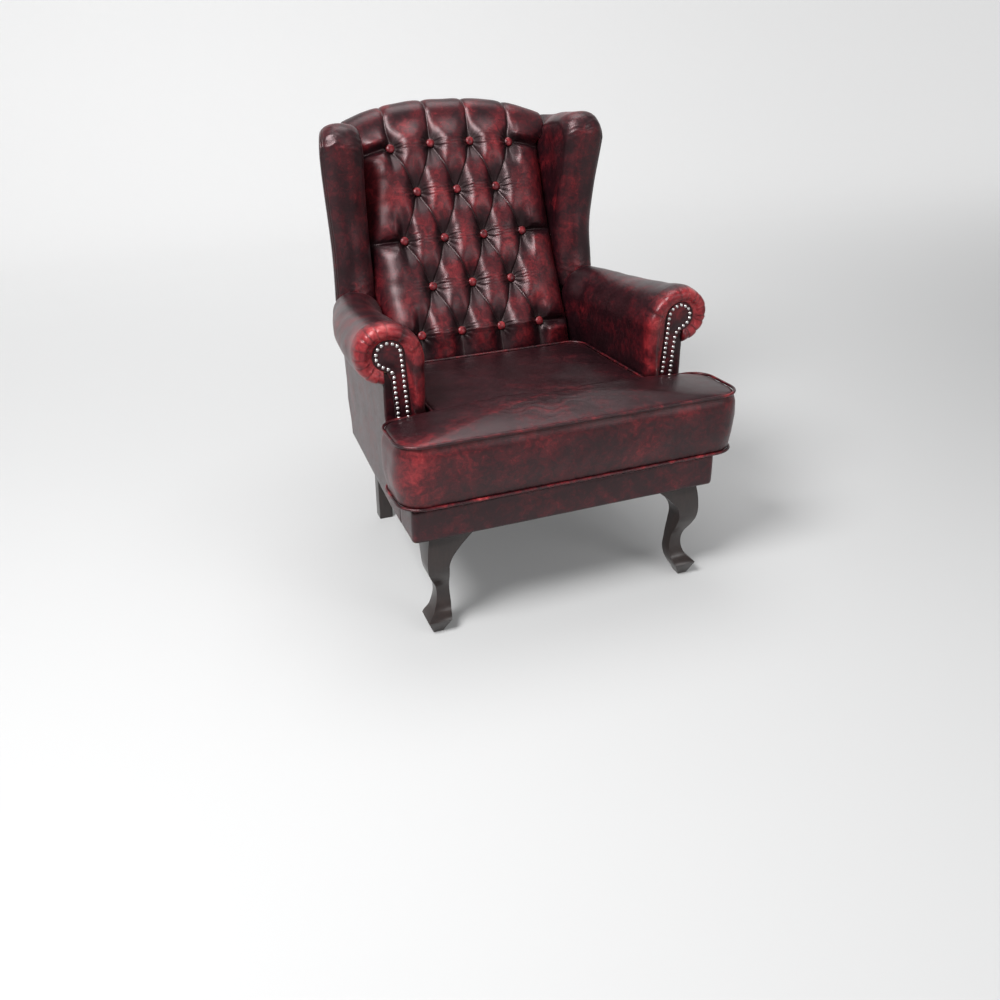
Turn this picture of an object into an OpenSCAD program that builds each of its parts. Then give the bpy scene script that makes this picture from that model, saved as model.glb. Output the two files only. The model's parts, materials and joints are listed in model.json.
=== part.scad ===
// Deep-buttoned wing armchair: scroll arms, bandsawn cabriole front legs, loose T-shaped seat cushion.
// Millimetres. The floor is z = 0, x = 0 is the middle of the chair, and the front faces -Y.
// Inside the modules, y is counted from the leather face of the front rail, and at_rail() sets it in place.

/* [Overall] */
// Height of the crest above the floor
overall_h = 1060; // [1000:5:1120]
// Width over the arm scrolls
overall_w = 870; // [840:5:910]
// Depth from the nose of the cushion to the back of the crest
overall_d = 940; // [900:5:990]
// Rake of the back, in degrees from the vertical
back_rake = 22.9; // [21:0.1:24]

/* [Seat frame] */
// Height of the underside of the seat frame
base_h = 250; // [220:5:280]
// How far the arm scrolls stand out over the base on each side
scroll_out = 63; // [58:1:68]
// How much the base draws in on each side towards the back
base_taper = 12; // [6:1:18]
// Height of the front and side rails
rail_h = 70; // [60:2:80]
// Thickness of the front and side rails
rail_t = 28; // [22:1:32]
// Height of the back rail
back_rail_h = 38; // [30:1:50]
// Thickness of the back rail
back_rail_t = 40; // [34:1:42]
// Thickness of the leather with its lining
skin_t = 4; // [3:0.5:5]
// How far the front rail's cover runs back along the side
cover_return = 95; // [80:5:120]
// Legs of the triangular corner blocks
block_leg = 118; // [100:2:130]
// Height of the corner blocks
block_h = 40; // [30:2:50]
// Diameter of the frame dowels
dowel_d = 10; // [8:1:12]
// Length of the frame dowels
dowel_l = 60; // [40:5:64]

/* [Legs] */
// Distance of a front leg's knee in from the side of the base
knee_in = 22; // [12:1:30]
// Distance of a front leg's knee in front of the rail's leather face
knee_y = 5; // [0:1:10]
// Width of a front leg's bracket ear at the top, from the knee
ear_w = 115; // [100:1:125]
// Side of a back leg's square section
back_leg_w = 36; // [30:1:38]
// Distance of a back leg's outer face in from the side of the base
back_leg_in = 62; // [56:1:80]
// Diameter of the hanger bolts
bolt_d = 8; // [6:1:10]

/* [Back] */
// Radius of the rolled crest
crest_r = 48; // [44:1:50]
// Fall of the crest from the middle to the sides of the buttoned pad
crest_fall = 37; // [20:1:45]
// Distance of the buttoned pad's side in from the side of the base
pad_in = 118; // [116:1:124]
// How far the crest flares over the sides of the pad
crest_flare = 21; // [10:1:22]
// Distance of the lowest row of buttons up the rake
button_low = 227.6; // [215:0.2:240]
// Distance of the top row of buttons under the middle of the crest's roll
button_top = 78; // [70:1:90]
// How far the pillows stand proud of the buttons
pillow_h = 32; // [20:1:38]
// Diameter of the covered buttons
button_d = 23; // [18:1:26]

/* [Arms] */
// Radius of the roll at the front
arm_r_front = 69; // [64:1:72]
// Radius of the roll where it meets the wing
arm_r_back = 50; // [46:1:54]
// Height of the roll's axis at the front over the base, as a share of the height of the back over the base
arm_front_share = 0.4506; // [0.438:0.0002:0.463]
// Height of the roll's axis where it meets the wing, as a share in the same way
arm_back_share = 0.4074; // [0.4:0.0002:0.42]
// Distance of the front post's face behind the rail's leather face
post_y = 184; // [176:1:196]
// Distance from the side of the base in to the inner face of the arm
arm_w = 97; // [94:1:104]
// Pitch of the dome nails
nail_pitch = 12; // [10:0.5:16]
// Diameter of the dome nails
nail_d = 8.6; // [7:0.2:9.6]

/* [Wings] */
// Thickness of the wing at its front edge
wing_w = 113; // [108:1:116]
// Splay of the wing, in degrees
wing_splay = 15.6; // [14:0.1:17]
// Distance of the wing's highest point under the crest
wing_under = 25; // [10:5:50]

/* [Seat cushion] */
// How far the cushion's nose stands in front of the rail
nose = 25; // [15:1:35]
// How far the cushion's ears stand out over the base on each side
ear_out = 38; // [30:1:46]
// Height of the cushion's border from the bottom plane to the top seam
cushion_h = 150; // [130:2:165]
// Rise of the crown over the top seam
crown_h = 26; // [15:1:35]
// Radius of the piping
welt_r = 4; // [3:0.2:4.4]

/* [Suspension] */
// Number of zigzag springs
spring_count = 5; // [4:1:6]
// Half waves of one spring
spring_waves = 16; // [12:2:18]
// Radius of the spring wire
wire_r = 1.9; // [1.5:0.1:2.2]
// Half width of a spring
spring_half = 24; // [18:1:28]
// Thickness of the seat deck
deck_t = 6; // [5:0.5:8]

/* [Hidden] */

LEATHER = [0.30, 0.06, 0.07];
LEATHER_RED = [0.48, 0.09, 0.09];
BEECH = [0.80, 0.64, 0.44];
DARK_WOOD = [0.12, 0.08, 0.07];
STEEL = [0.62, 0.62, 0.64];
CLOTH = [0.10, 0.10, 0.11];

// Clearance between a soft solid and its neighbour
gap = 0.3;
// Clearance between two outside leathers
seam = 1;
// Overrun of every cut
over = 2;
// Room left at a joint that is hidden in the frame
slack = 4;

sin_r = sin(back_rake);
cos_r = cos(back_rake);
tan_r = tan(back_rake);

// The roll of the crest: its centre, as distance in front of the back plane and distance up the rake
crest_n = 44;
crest_s = (overall_h - crest_r - base_h - crest_n * sin_r) / cos_r;
// Depth of the base, from the rail's leather face to the bottom of the back panel
base_d = overall_d - nose - crest_r - crest_s * sin_r + crest_n * cos_r;
rail_y = nose - overall_d / 2;
arm_axis_front = base_h + arm_front_share * (overall_h - base_h);
arm_axis_back = base_h + arm_back_share * (overall_h - base_h);

base_half = overall_w / 2 - scroll_out;
pad_half = base_half - pad_in;
arm_in_half = base_half - arm_w;
rail_top = base_h + rail_h;
back_rail_top = base_h + back_rail_h;
back_face = base_d - skin_t / cos_r;
back_rail_y = back_face - back_rail_t;
rail_half = base_half - skin_t;
board_t = 32;
foot_out = base_half - base_taper - skin_t;
foot_in = foot_out - board_t;
foot_d = 44;
foot_y = back_face - foot_d;

module at_rail() {
    translate([0, rail_y, 0]) children();
}

// Frame of the raked back: x across, -y forward of the back plane, z up the rake
module on_back() {
    at_rail() translate([0, base_d, base_h]) rotate([-back_rake, 0, 0]) children();
}

module flip(side) {
    mirror([side < 0 ? 1 : 0, 0, 0]) children();
}

function clamp(v) = min(1, max(0, v));
function smooth(v) = clamp(v) * clamp(v) * (3 - 2 * clamp(v));
function mix(a, b, t) = a + (b - a) * t;
// A point given by x, distance in front of the back plane and distance up the rake
function back_pt(x, n, s) = [x, base_d + s * sin_r - n * cos_r, base_h + s * cos_r + n * sin_r];
function back_y(z, n) = base_d + (z - base_h) * tan_r - n / cos_r;
function arc_pts(cx, cy, r, a0, a1, count) =
    [for (i = [0:count]) let (a = mix(a0, a1, i / count)) [cx + r * cos(a), cy + r * sin(a)]];
function back_n(y, z) = (z - base_h) * sin_r - (y - base_d) * cos_r;
function back_s(y, z) = (z - base_h) * cos_r + (y - base_d) * sin_r;
function reversed(list) = [for (i = [len(list) - 1:-1:0]) list[i]];

// Closed tube of rings: rows is a list of rings with the same number of points, and the ends are closed
// by strips between the first half of a ring and its second half, taken backwards
module paired_loft(rows) {
    n = len(rows[0]);
    half = n / 2;
    last = len(rows) - 1;
    points = [for (row = rows) for (p = row) p];
    sides = [for (i = [0:last - 1]) for (j = [0:n - 1]) let (a = i * n + j, b = i * n + (j + 1) % n)
        each [[a, b, b + n], [a, b + n, a + n]]];
    first_cap = [for (j = [0:half - 2]) let (a = j, b = j + 1, c = n - 2 - j, d = n - 1 - j)
        each [[a, c, b], [a, d, c]]];
    last_cap = [for (f = first_cap) [f[0] + last * n, f[2] + last * n, f[1] + last * n]];
    polyhedron(points, concat(sides, first_cap, last_cap), convexity = 6);
}

// Closed form of stacked rings with a point at each end
module capped_rings(rings, low, high) {
    n = len(rings[0]);
    last = len(rings) - 1;
    points = concat([low], [for (ring = rings) for (p = ring) p], [high]);
    top = len(points) - 1;
    sides = [for (i = [0:last - 1]) for (j = [0:n - 1])
        let (a = 1 + i * n + j, b = 1 + i * n + (j + 1) % n) each [[a, b + n, b], [a, a + n, b + n]]];
    base = [for (j = [0:n - 1]) [0, 1 + j, 1 + (j + 1) % n]];
    lid = [for (j = [0:n - 1]) [top, 1 + last * n + (j + 1) % n, 1 + last * n + j]];
    polyhedron(points, concat(sides, base, lid), convexity = 6);
}

// Round wire or piping swept along a path that lies nearly flat
module swept_tube(path, r, sides, closed) {
    n = len(path);
    rings = [for (i = [0:n - 1])
        let (before = path[closed ? (i + n - 1) % n : max(0, i - 1)])
        let (after = path[closed ? (i + 1) % n : min(n - 1, i + 1)])
        let (t = (after - before) / norm(after - before))
        let (side = cross(t, [0, 0, 1]), across = side / norm(side), up = cross(across, t))
        [for (k = [0:sides - 1]) let (a = 360 * (k + 0.5) / sides)
            path[i] + r * (cos(a) * across + sin(a) * up)]];
    points = [for (ring = rings) for (p = ring) p];
    stop = closed ? n - 1 : n - 2;
    walls = [for (i = [0:stop]) for (k = [0:sides - 1])
        let (a = i * sides + k, b = i * sides + (k + 1) % sides)
        let (c = ((i + 1) % n) * sides + (k + 1) % sides, d = ((i + 1) % n) * sides + k)
        each [[a, b, c], [a, c, d]]];
    ends = closed ? [] : concat([for (k = [1:sides - 2]) [0, k + 1, k]],
        [for (k = [1:sides - 2]) [(n - 1) * sides, (n - 1) * sides + k, (n - 1) * sides + k + 1]]);
    polyhedron(points, concat(walls, ends), convexity = 10);
}

// Seat frame

// Half width over the outside leather at the bottom of the frame
side_taper_share = base_taper / (base_d - post_y);
function skin_x(y) = base_half - max(0, y - post_y) * side_taper_share;

hole_room = 0.1;
dowel_room = 0.05;
bolt_low = 60;
bolt_head_r = 9;
bolt_head_h = 6;
bolt_in = 44;
back_leg_y = back_face - over - back_leg_w;
front_bolt = [base_half - knee_in - bolt_in, bolt_in];
back_bolt = [base_half - back_leg_in - back_leg_w / 2, back_leg_y + back_leg_w / 2];
dowel_shares = [0.28, 0.72];
dowel_start_share = 1 / 3;
small_dowel_share = 0.8;

module frame_dowel_set(room) {
    small_l = dowel_l * small_dowel_share;
    for (side = [-1, 1]) flip(side) for (share = dowel_shares) {
        translate([rail_half - rail_t / 2, skin_t + rail_t * dowel_start_share, base_h + rail_h * share])
            rotate([-90, 0, 0])
            cylinder(h = dowel_l + room, d = dowel_d + room, $fn = 32);
        translate([foot_in - small_l / 2, back_rail_y + back_rail_t / 2, base_h + back_rail_h * share])
            rotate([0, 90, 0])
            cylinder(h = small_l + room, d = dowel_d * small_dowel_share + room, $fn = 32);
    }
}

module bolt_set(room) {
    for (side = [-1, 1]) flip(side) {
        translate([front_bolt[0], front_bolt[1], base_h - bolt_low])
            cylinder(h = bolt_low + block_h, d = bolt_d + room, $fn = 32);
        translate([back_bolt[0], back_bolt[1], base_h - bolt_low])
            cylinder(h = bolt_low + back_rail_h, d = bolt_d + room, $fn = 32);
    }
}

module front_seat_rail() {
    color(BEECH) at_rail() difference() {
        translate([-rail_half, skin_t, base_h]) cube([2 * rail_half, rail_t, rail_h]);
        frame_dowel_set(2 * dowel_room);
    }
}

module back_seat_rail() {
    color(BEECH) at_rail() difference() {
        translate([-foot_in, back_rail_y, base_h]) cube([2 * foot_in, back_rail_t, back_rail_h]);
        frame_dowel_set(2 * dowel_room);
        bolt_set(2 * hole_room);
    }
}

module side_seat_rail(side) {
    front = skin_t + rail_t;
    far_x = skin_x(foot_y) - skin_t;
    plan = [[rail_half, front], [rail_half - gap, post_y], [far_x - gap, foot_y], [far_x - rail_t, foot_y],
        [rail_half - rail_t, post_y], [rail_half - rail_t, front]];
    color(BEECH) at_rail() difference() {
        flip(side) translate([0, 0, base_h]) linear_extrude(rail_h) polygon(plan);
        frame_dowel_set(2 * dowel_room);
    }
}

module side_seat_rail_left() { side_seat_rail(-1); }
module side_seat_rail_right() { side_seat_rail(1); }

module corner_blocks() {
    front = skin_t + rail_t;
    x_front = rail_half - rail_t;
    x_back = skin_x(back_rail_y) - skin_t - rail_t - seam;
    color(BEECH) at_rail() difference() {
        for (side = [-1, 1]) flip(side) translate([0, 0, base_h]) {
            linear_extrude(block_h)
                polygon([[x_front, front], [x_front, front + block_leg], [x_front - block_leg, front]]);
            linear_extrude(back_rail_h)
                polygon([[foot_in, back_rail_y], [x_back - block_leg, back_rail_y],
                    [x_back, back_rail_y - block_leg], [x_back, foot_y], [foot_in, foot_y]]);
        }
        bolt_set(2 * hole_room);
    }
}

module frame_dowels() {
    color(BEECH) at_rail() frame_dowel_set(0);
}

// Back frame: two raked posts that lean in towards the crest, a crest rail on top and a rail low down

wing_gap = 106;
arm_end = back_y(arm_axis_back, 0) - wing_gap;
wing_x = base_half;
wing_set_back = 14;
wing_y = arm_end + wing_set_back;
tan_w = tan(wing_splay);
cos_w = cos(wing_splay);
function wing_out(y) = wing_x - (y - wing_y) * tan_w;

post_short = 66;
post_top_s = crest_s - post_short;
lean_from = rail_h;
post_front_n = skin_t + board_t;
post_top_out = wing_out(base_d + post_top_s * sin_r) - 2 * slack;
// The posts stand square to the seat frame, and lean in only above it
function post_in(s) = mix(foot_in, post_top_out - board_t, clamp((s - lean_from) / (post_top_s - lean_from)));

module back_post(side) {
    color(BEECH) difference() {
        union() {
            at_rail() flip(side) translate([foot_in, foot_y, base_h]) cube([board_t, foot_d, rail_h]);
            on_back() flip(side) translate([0, -skin_t, 0]) rotate([90, 0, 0]) linear_extrude(board_t)
                polygon([[foot_in + board_t, skin_t], [post_top_out, post_top_s],
                    [post_in(post_top_s), post_top_s], [foot_in, lean_from], [foot_in, skin_t]]);
        }
        at_rail() frame_dowel_set(2 * dowel_room);
    }
}

module back_post_left() { back_post(-1); }
module back_post_right() { back_post(1); }

crest_pad = 38;
crest_lap = 54;
crest_top_s = crest_s + crest_r - crest_pad;
crest_power = 2.6;
function crest_drop(x) = crest_fall / cos_r * pow(abs(x) / pad_half, crest_power);
function arched(half, top_s, steps) =
    [for (i = [0:steps]) let (x = mix(half, -half, i / steps)) [x, top_s - crest_drop(x)]];

module crest_rail() {
    low = post_top_s - crest_lap;
    half = pad_half - over;
    color(BEECH) on_back() translate([0, -skin_t, 0]) rotate([90, 0, 0]) linear_extrude(board_t)
        polygon(concat([[-half, post_top_s], [-post_in(post_top_s), post_top_s], [-post_in(low), low],
            [post_in(low), low], [post_in(post_top_s), post_top_s], [half, post_top_s]],
            arched(half, crest_top_s, 16)));
}

lower_rail_s = 150;
lower_rail_h = 60;
lower_rail_t = 22;

module lower_back_rail() {
    high = lower_rail_s + lower_rail_h;
    color(BEECH) on_back() translate([0, -skin_t, 0]) rotate([90, 0, 0]) linear_extrude(lower_rail_t)
        polygon([[-post_in(lower_rail_s), lower_rail_s], [post_in(lower_rail_s), lower_rail_s],
            [post_in(high), high], [-post_in(high), high]]);
}

// Arms

// Outline of the front post's head and its lean, seen from the front
head_in = 12;
head_x = base_half - head_in;
head_drop = 3;
head_z = arm_axis_front - head_drop;
head_r = 40;
lean_share = 19 / 284;
post_out = rail_half - seam;
post_t = 25;
post_back = post_y + post_t + gap;
arm_axis_x = overall_w / 2 - arm_r_front;
arm_lean_in = 42;
arm_back_x = base_half - arm_lean_in;
arm_tuck_run = 92;
arm_tuck_y = arm_end - arm_tuck_run;
arm_tuck_in = pad_half + seam;
arm_drop = 25;
arm_clear = 12;
arm_low = rail_top + arm_clear;
// The foot of the arm pad stays clear of the raked back panel
function arm_foot(y) = max(arm_low, base_h + (y + seam - base_d + skin_t / cos_r) / tan_r);
arm_side_pad = 42;
core_r = 24;
core_drop = 15;
core_lean = 35;
core_front = [head_x, arm_axis_front - core_drop];
core_back = [head_x - core_lean, arm_axis_back - seam - slack];
roll_power = 3;

function arm_t(y) = clamp((y - post_back) / (arm_end - post_back));
function arm_r(y) = mix(arm_r_front, arm_r_back, arm_t(y));
function arm_x(y) = mix(arm_axis_x, arm_back_x, pow(arm_t(y), roll_power));
function arm_z(y) = mix(arm_axis_front, arm_axis_back, 1 - pow(1 - arm_t(y), 2));
function arm_in(y) = mix(arm_in_half, arm_tuck_in, smooth((y - arm_tuck_y) / (arm_end - arm_tuck_y)));
// Outside leather under the roll
function side_x(y) = skin_x(y);
// Radius of the wide inner arc that joins the roll to the upright inner face
function wide_r(y) = let (a = arm_x(y) - arm_in(y), r = arm_r(y))
    (a * a + arm_drop * arm_drop - r * r) / (2 * (a - r));
function join_angle(y) = atan2(arm_drop, arm_x(y) - arm_in(y) - wide_r(y));
function lip_angle(y, e) = -acos((side_x(y) + gap - arm_x(y)) / (arm_r(y) - e));

roll_steps = 19;
inner_steps = 8;
drop_steps = 3;
turn_steps = roll_steps + inner_steps;
pleat_depth = 3;
pleat_every = 3;
function pleat(i, share) = i % pleat_every == 0 ? pleat_depth * share : 0;

// Outer line of the arm's section at y, drawn in by e, from under the roll to the bottom of the inner face
function arm_outer(y, e, share) = let (lip = lip_angle(y, e), join = join_angle(y), wide = wide_r(y))
    concat(
        [for (i = [0:roll_steps]) let (a = mix(lip, join, i / roll_steps), r = arm_r(y) - e - pleat(i, share))
            [arm_x(y) + r * cos(a), arm_z(y) + r * sin(a)]],
        [for (i = [1:inner_steps]) let (a = mix(join, 180, i / inner_steps))
            let (r = wide - e - pleat(i + roll_steps, share))
            [arm_in(y) + wide + r * cos(a), arm_z(y) - arm_drop + r * sin(a)]],
        [for (i = [1:drop_steps]) [arm_in(y) + e, mix(arm_z(y) - arm_drop, arm_foot(y), i / drop_steps)]]);

// Inner line of the section: round the facing, round the front post, or round the arm rail
face_r = 35;
face_c = [head_x - seam, head_z + over];
face_fillet = 22;
face_tail_out = head_x - slack;
face_fillet_c = [face_tail_out + face_fillet,
    face_c[1] - sqrt(pow(face_r + face_fillet, 2) - pow(face_tail_out + face_fillet - face_c[0], 2))];
face_turn = atan2(face_fillet_c[1] - face_c[1], face_fillet_c[0] - face_c[0]);
core_turn = -60;
function ring_line(c, r, a0) = concat(
    [for (i = [0:turn_steps]) let (a = mix(a0, 180, i / turn_steps)) [c[0] + r * cos(a), c[1] + r * sin(a)]],
    [for (i = [1:drop_steps]) let (z = mix(c[1], arm_low, i / drop_steps))
        [c[0] - r - lean_share * (c[1] - z), z]]);
function inner_facing() = ring_line(face_c, face_r + gap, face_turn);
function inner_post() = ring_line([head_x, head_z], head_r + gap, -acos((post_out - head_x) / head_r));
function core_at(y) = mix(core_front, core_back, (y - post_back) / (arm_end - post_back));
function inner_core(y) = let (c = core_at(y)) concat(
    [for (i = [0:turn_steps]) let (a = mix(core_turn, 180, i / turn_steps))
        [c[0] + core_r * cos(a), c[1] + core_r * sin(a)]],
    [for (i = [1:drop_steps]) [arm_in(y) + arm_side_pad, mix(c[1] - core_r, arm_foot(y), i / drop_steps)]]);
function lift(line, y) = [for (p = line) [p[0], y, p[1]]];

face_back = post_y - over;
face_t = 4;
face_front = face_back - face_t;
roll_nose = 7;
// Stations of the arm's front: where they are, how far the outer line draws in, and how deep the pleats are
roll_draw = 27;
roll_blend = 16;
draw_shares = [1, 0.67, 0.3, 0.07, 0];
pleat_shares = [1, 1, 0.6, 0.3, 0];
nose_share = 0.57;
front_ys = [face_front, face_front - roll_nose, face_front - nose_share * roll_nose, post_y,
    post_y + roll_blend];
// Stations of the arm's body, with one where it starts to tuck in behind the seat
tuck_share = (arm_tuck_y - post_back) / (arm_end - post_back);
body_shares = concat([0, 0.2, 0.4, 0.6], [tuck_share, 0.86, 0.93, 1]);
tail_in = 8;

module arm_pad(side) {
    post_face = post_y - gap;
    inner_y = [face_front + seam, face_front + over, post_face, post_face, post_back];
    front = [for (i = [0:4]) let (y = front_ys[i], inner = i < 3 ? inner_facing() : inner_post())
        concat(lift(arm_outer(max(post_y, y), roll_draw * draw_shares[i], pleat_shares[i]), y),
            reversed(lift(inner, inner_y[i])))];
    body = [for (share = body_shares) let (y = mix(post_back, arm_end, share))
        concat(lift(arm_outer(y, share == 1 ? tail_in : 0, 0), max(y, post_back + over)),
            reversed(lift(inner_core(y), y)))];
    color(LEATHER_RED) at_rail() flip(side) paired_loft(concat(front, body));
}

module arm_pad_left() { arm_pad(-1); }
module arm_pad_right() { arm_pad(1); }

module arm_post(side) {
    start = acos((post_out - head_x) / head_r);
    foot_x = head_x - head_r - lean_share * (head_z - rail_top);
    color(BEECH) at_rail() flip(side) translate([0, post_y + post_t, 0]) rotate([90, 0, 0])
        linear_extrude(post_t)
        polygon(concat([[post_out, rail_top]], arc_pts(head_x, head_z, head_r, -start, 180, 24),
            [[foot_x, rail_top]]));
}

module arm_post_left() { arm_post(-1); }
module arm_post_right() { arm_post(1); }

arm_rail_w = 30;
arm_rail_h = 34;

// Everything behind the front faces of the back posts
module behind_posts(room) {
    on_back() translate([-overall_w, -post_front_n - room, -base_h])
        cube([2 * overall_w, 2 * base_d, 2 * overall_h]);
}

// The arm rail runs from the front post to the back post, whose rake cuts its end
module arm_rail(side) {
    run = arm_end - post_back;
    start = post_y + post_t;
    color(BEECH) difference() {
        at_rail() flip(side) translate([core_front[0], post_back, core_front[1]])
            rotate([-atan((core_front[1] - core_back[1]) / run), 0,
                atan((core_front[0] - core_back[0]) / run)])
            translate([-arm_rail_w / 2, -arm_rail_w, -arm_rail_h / 2])
            cube([arm_rail_w, base_d, arm_rail_h]);
        at_rail() translate([-overall_w, start - base_d, base_h]) cube([2 * overall_w, base_d, overall_h]);
        behind_posts(web_t + gap);
    }
}

module arm_rail_left() { arm_rail(-1); }
module arm_rail_right() { arm_rail(1); }

// Outline of the scroll facing, drawn in by d, with its lower end at height low
function lean_to(x, z) = [x - lean_share * (face_c[1] - z), z];
function face_outline(d, low) = concat(
    [lean_to(face_c[0] - face_r + d, low)],
    arc_pts(face_c[0], face_c[1], face_r - d, 180, face_turn, 22),
    reversed(arc_pts(face_fillet_c[0], face_fillet_c[1], face_fillet + d, 180, 180 + face_turn, 6)),
    [lean_to(face_tail_out - d + lean_share * (face_c[1] - face_fillet_c[1]), low)]);

module arm_facing(side) {
    color(LEATHER) at_rail() flip(side) translate([0, face_back, 0]) rotate([90, 0, 0])
        linear_extrude(face_t) polygon(face_outline(0, arm_low));
}

module arm_facing_left() { arm_facing(-1); }
module arm_facing_right() { arm_facing(1); }

// Point at a length along an outline, and the length of the outline
function run_to(path, i) = i == 0 ? 0 : run_to(path, i - 1) + norm(path[i] - path[i - 1]);
function along(path, s, i = 1) = let (step = norm(path[i] - path[i - 1]))
    s <= step || i == len(path) - 1 ? mix(path[i - 1], path[i], s / step) : along(path, s - step, i + 1);
nail_inset = 7;
nail_h = 2.6;

// Dome with its rim on the plane y = 0, as high as h over a circle of diameter d
module dome(d, h, fine) {
    ball = (d * d / 4 + h * h) / (2 * h);
    intersection() {
        translate([0, ball - h, 0]) sphere(r = ball, $fn = fine);
        translate([-d, -h - over, -d]) cube([2 * d, h + over, 2 * d]);
    }
}

module facing_nails(side) {
    path = face_outline(nail_inset, arm_low + nail_pitch);
    total = run_to(path, len(path) - 1);
    count = floor(total / nail_pitch);
    color(STEEL) at_rail() flip(side) for (i = [0:count]) {
        p = along(path, total * i / count);
        translate([p[0], face_front, p[1]]) dome(nail_d, nail_h, 32);
    }
}

module facing_nails_left() { facing_nails(-1); }
module facing_nails_right() { facing_nails(1); }

// Wings: the outer face is a splayed upright plane through wing_x at wing_y

wing_low = core_front[1] - slack;
wing_bow = 22;
wing_corner_r = 50;
wing_round = 45;
wing_in = wing_x - wing_w;
wing_board_t = 20;
wing_set = 30;
wing_front_y = arm_end + gap + seam;
wing_top = overall_h - wing_under;
corner_z = wing_top - wing_corner_r;
wing_root_n = post_front_n + slack;
wing_end_n = skin_t + gap;
wing_lap = 3;
ridge_end = back_pt(0, wing_end_n, crest_s + wing_lap);
flare_s = post_top_s + slack + seam;
flare_run = 42;
flare_n = 100;
function flare(n, s) = crest_flare * smooth((s - flare_s) / flare_run)
    * (1 - smooth((n - flare_n) / flare_n));
function wing_edge_y(z) = wing_front_y + wing_bow * sin(180 * clamp((z - wing_low) / (corner_z - wing_low)));
// Inner face of the wing, which draws in towards the pad and gives way to the flare of the crest
function wing_inner(y, z) = mix(wing_in, pad_half + seam, clamp((y - wing_y) / (ridge_end[1] - wing_y)))
    + flare(back_n(y, z), back_s(y, z));

// Edge line of the wing, front then top, as [y, z]
front_steps = 9;
corner_steps = 5;
ridge_steps = 6;
tail_steps = 3;
wing_edge = concat(
    [for (i = [0:front_steps]) let (z = mix(wing_low, corner_z, i / front_steps)) [wing_edge_y(z), z]],
    [for (i = [1:corner_steps]) let (a = mix(180, 95, i / corner_steps))
        [wing_front_y + wing_corner_r * (1 + cos(a)), corner_z + wing_corner_r * sin(a)]],
    [for (i = [1:ridge_steps]) let (t = i / ridge_steps)
        [mix(wing_front_y + wing_corner_r, ridge_end[1], t), mix(wing_top, ridge_end[2], t)]]);
wing_last = len(wing_edge) - 1;
tail = wing_last - tail_steps;
// Root line of the wing: up beside the buttoned pad, then back over the top of the post
function flat(p) = [p[1], p[2]];
root_low = [back_y(wing_low, wing_root_n), wing_low];
root_knee = flat(back_pt(0, wing_root_n, flare_s + wing_lap));
root_end = flat(back_pt(0, wing_end_n, flare_s + wing_lap));
root_power = 0.8;
round_share = 0.8;
function root_at(i) = i <= tail ? mix(root_low, root_knee, pow(i / tail, root_power))
    : mix(root_knee, root_end, (i - tail) / tail_steps);

// A point [y, z] of the wing's outer plane, moved in square to that plane
function wing_pt(p, in) = [wing_out(p[0]) - in * cos_w, p[0] - in * sin(wing_splay), p[1]];

// The end of the crest, which the wing gives room
module crest_space() {
    room_n = crest_n + crest_r + seam;
    top = [pad_half + crest_flare + seam, crest_s + 2 * crest_r];
    side = [for (s = [crest_s - button_top - button_pitch_s / cells, crest_s - button_top,
        for (share = head_under_shares) crest_s - button_top * share, crest_s])
        [wide(pad_half, s) + seam, s - sag(wide(pad_half, s), s)]];
    on_back() rotate([90, 0, 0]) translate([0, 0, -crest_r]) linear_extrude(crest_r + room_n)
        polygon(concat([[0, side[0][1]]], side, [top, [0, top[1]]]));
}

module wing_pad(side) {
    rows = [for (i = [0:wing_last])
        let (e = wing_edge[i], root = root_at(i), span = norm(root - e), dir = (root - e) / span)
        let (deep = min(wing_round, span * round_share), set = deep * wing_set / wing_round)
        let (face_in = skin_t + gap, core_in = skin_t + 3 * gap + (i > tail ? 0 : wing_board_t))
        let (outer = [for (k = [0:6]) let (a = 30 * k, p = e + dir * deep * (1 - sin(a)))
            let (mid = (wing_out(p[0]) + wing_inner(p[0], p[1])) / 2)
            [mid + (wing_out(p[0]) - mid) * cos(a), p[0], p[1]]])
        let (inner = [for (k = [0:6])
            let (p = e + dir * (k == 0 ? deep : k < 3 ? set : mix(set, span, (k - 2) / 5)))
            wing_pt(p, k < 2 ? face_in : core_in)])
        concat(outer, [[wing_inner(root[0], root[1]), root[0], root[1]], wing_pt(root, core_in)],
            reversed(inner))];
    color(LEATHER_RED) difference() {
        at_rail() flip(side) paired_loft(rows);
        flip(side) crest_space();
    }
}

module wing_pad_left() { wing_pad(-1); }
module wing_pad_right() { wing_pad(1); }

module in_wing_plane() {
    translate([wing_x, wing_y, 0]) rotate([0, 0, wing_splay]) rotate([90, 0, 90]) children();
}
// Edge line drawn in by d up to station i, as points of the wing's plane
function drawn_in(d, last) = [for (i = [0:last]) let (e = wing_edge[i], root = root_at(i))
    e + (root - e) / norm(root - e) * d];
function to_plane(outline) = [for (p = outline) [(p[0] - wing_y) / cos_w, p[1]]];

module wing_board(side) {
    high = root_at(tail - 1)[1];
    outline = concat(drawn_in(wing_set + gap, tail - 1),
        [[back_y(high, skin_t), high], [back_y(wing_low, skin_t), wing_low]]);
    color(BEECH) difference() {
        at_rail() flip(side) in_wing_plane() translate([0, 0, -skin_t - 2 * gap - wing_board_t])
            linear_extrude(wing_board_t) polygon(to_plane(outline));
        behind_posts(0);
    }
}

module wing_board_left() { wing_board(-1); }
module wing_board_right() { wing_board(1); }

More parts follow.
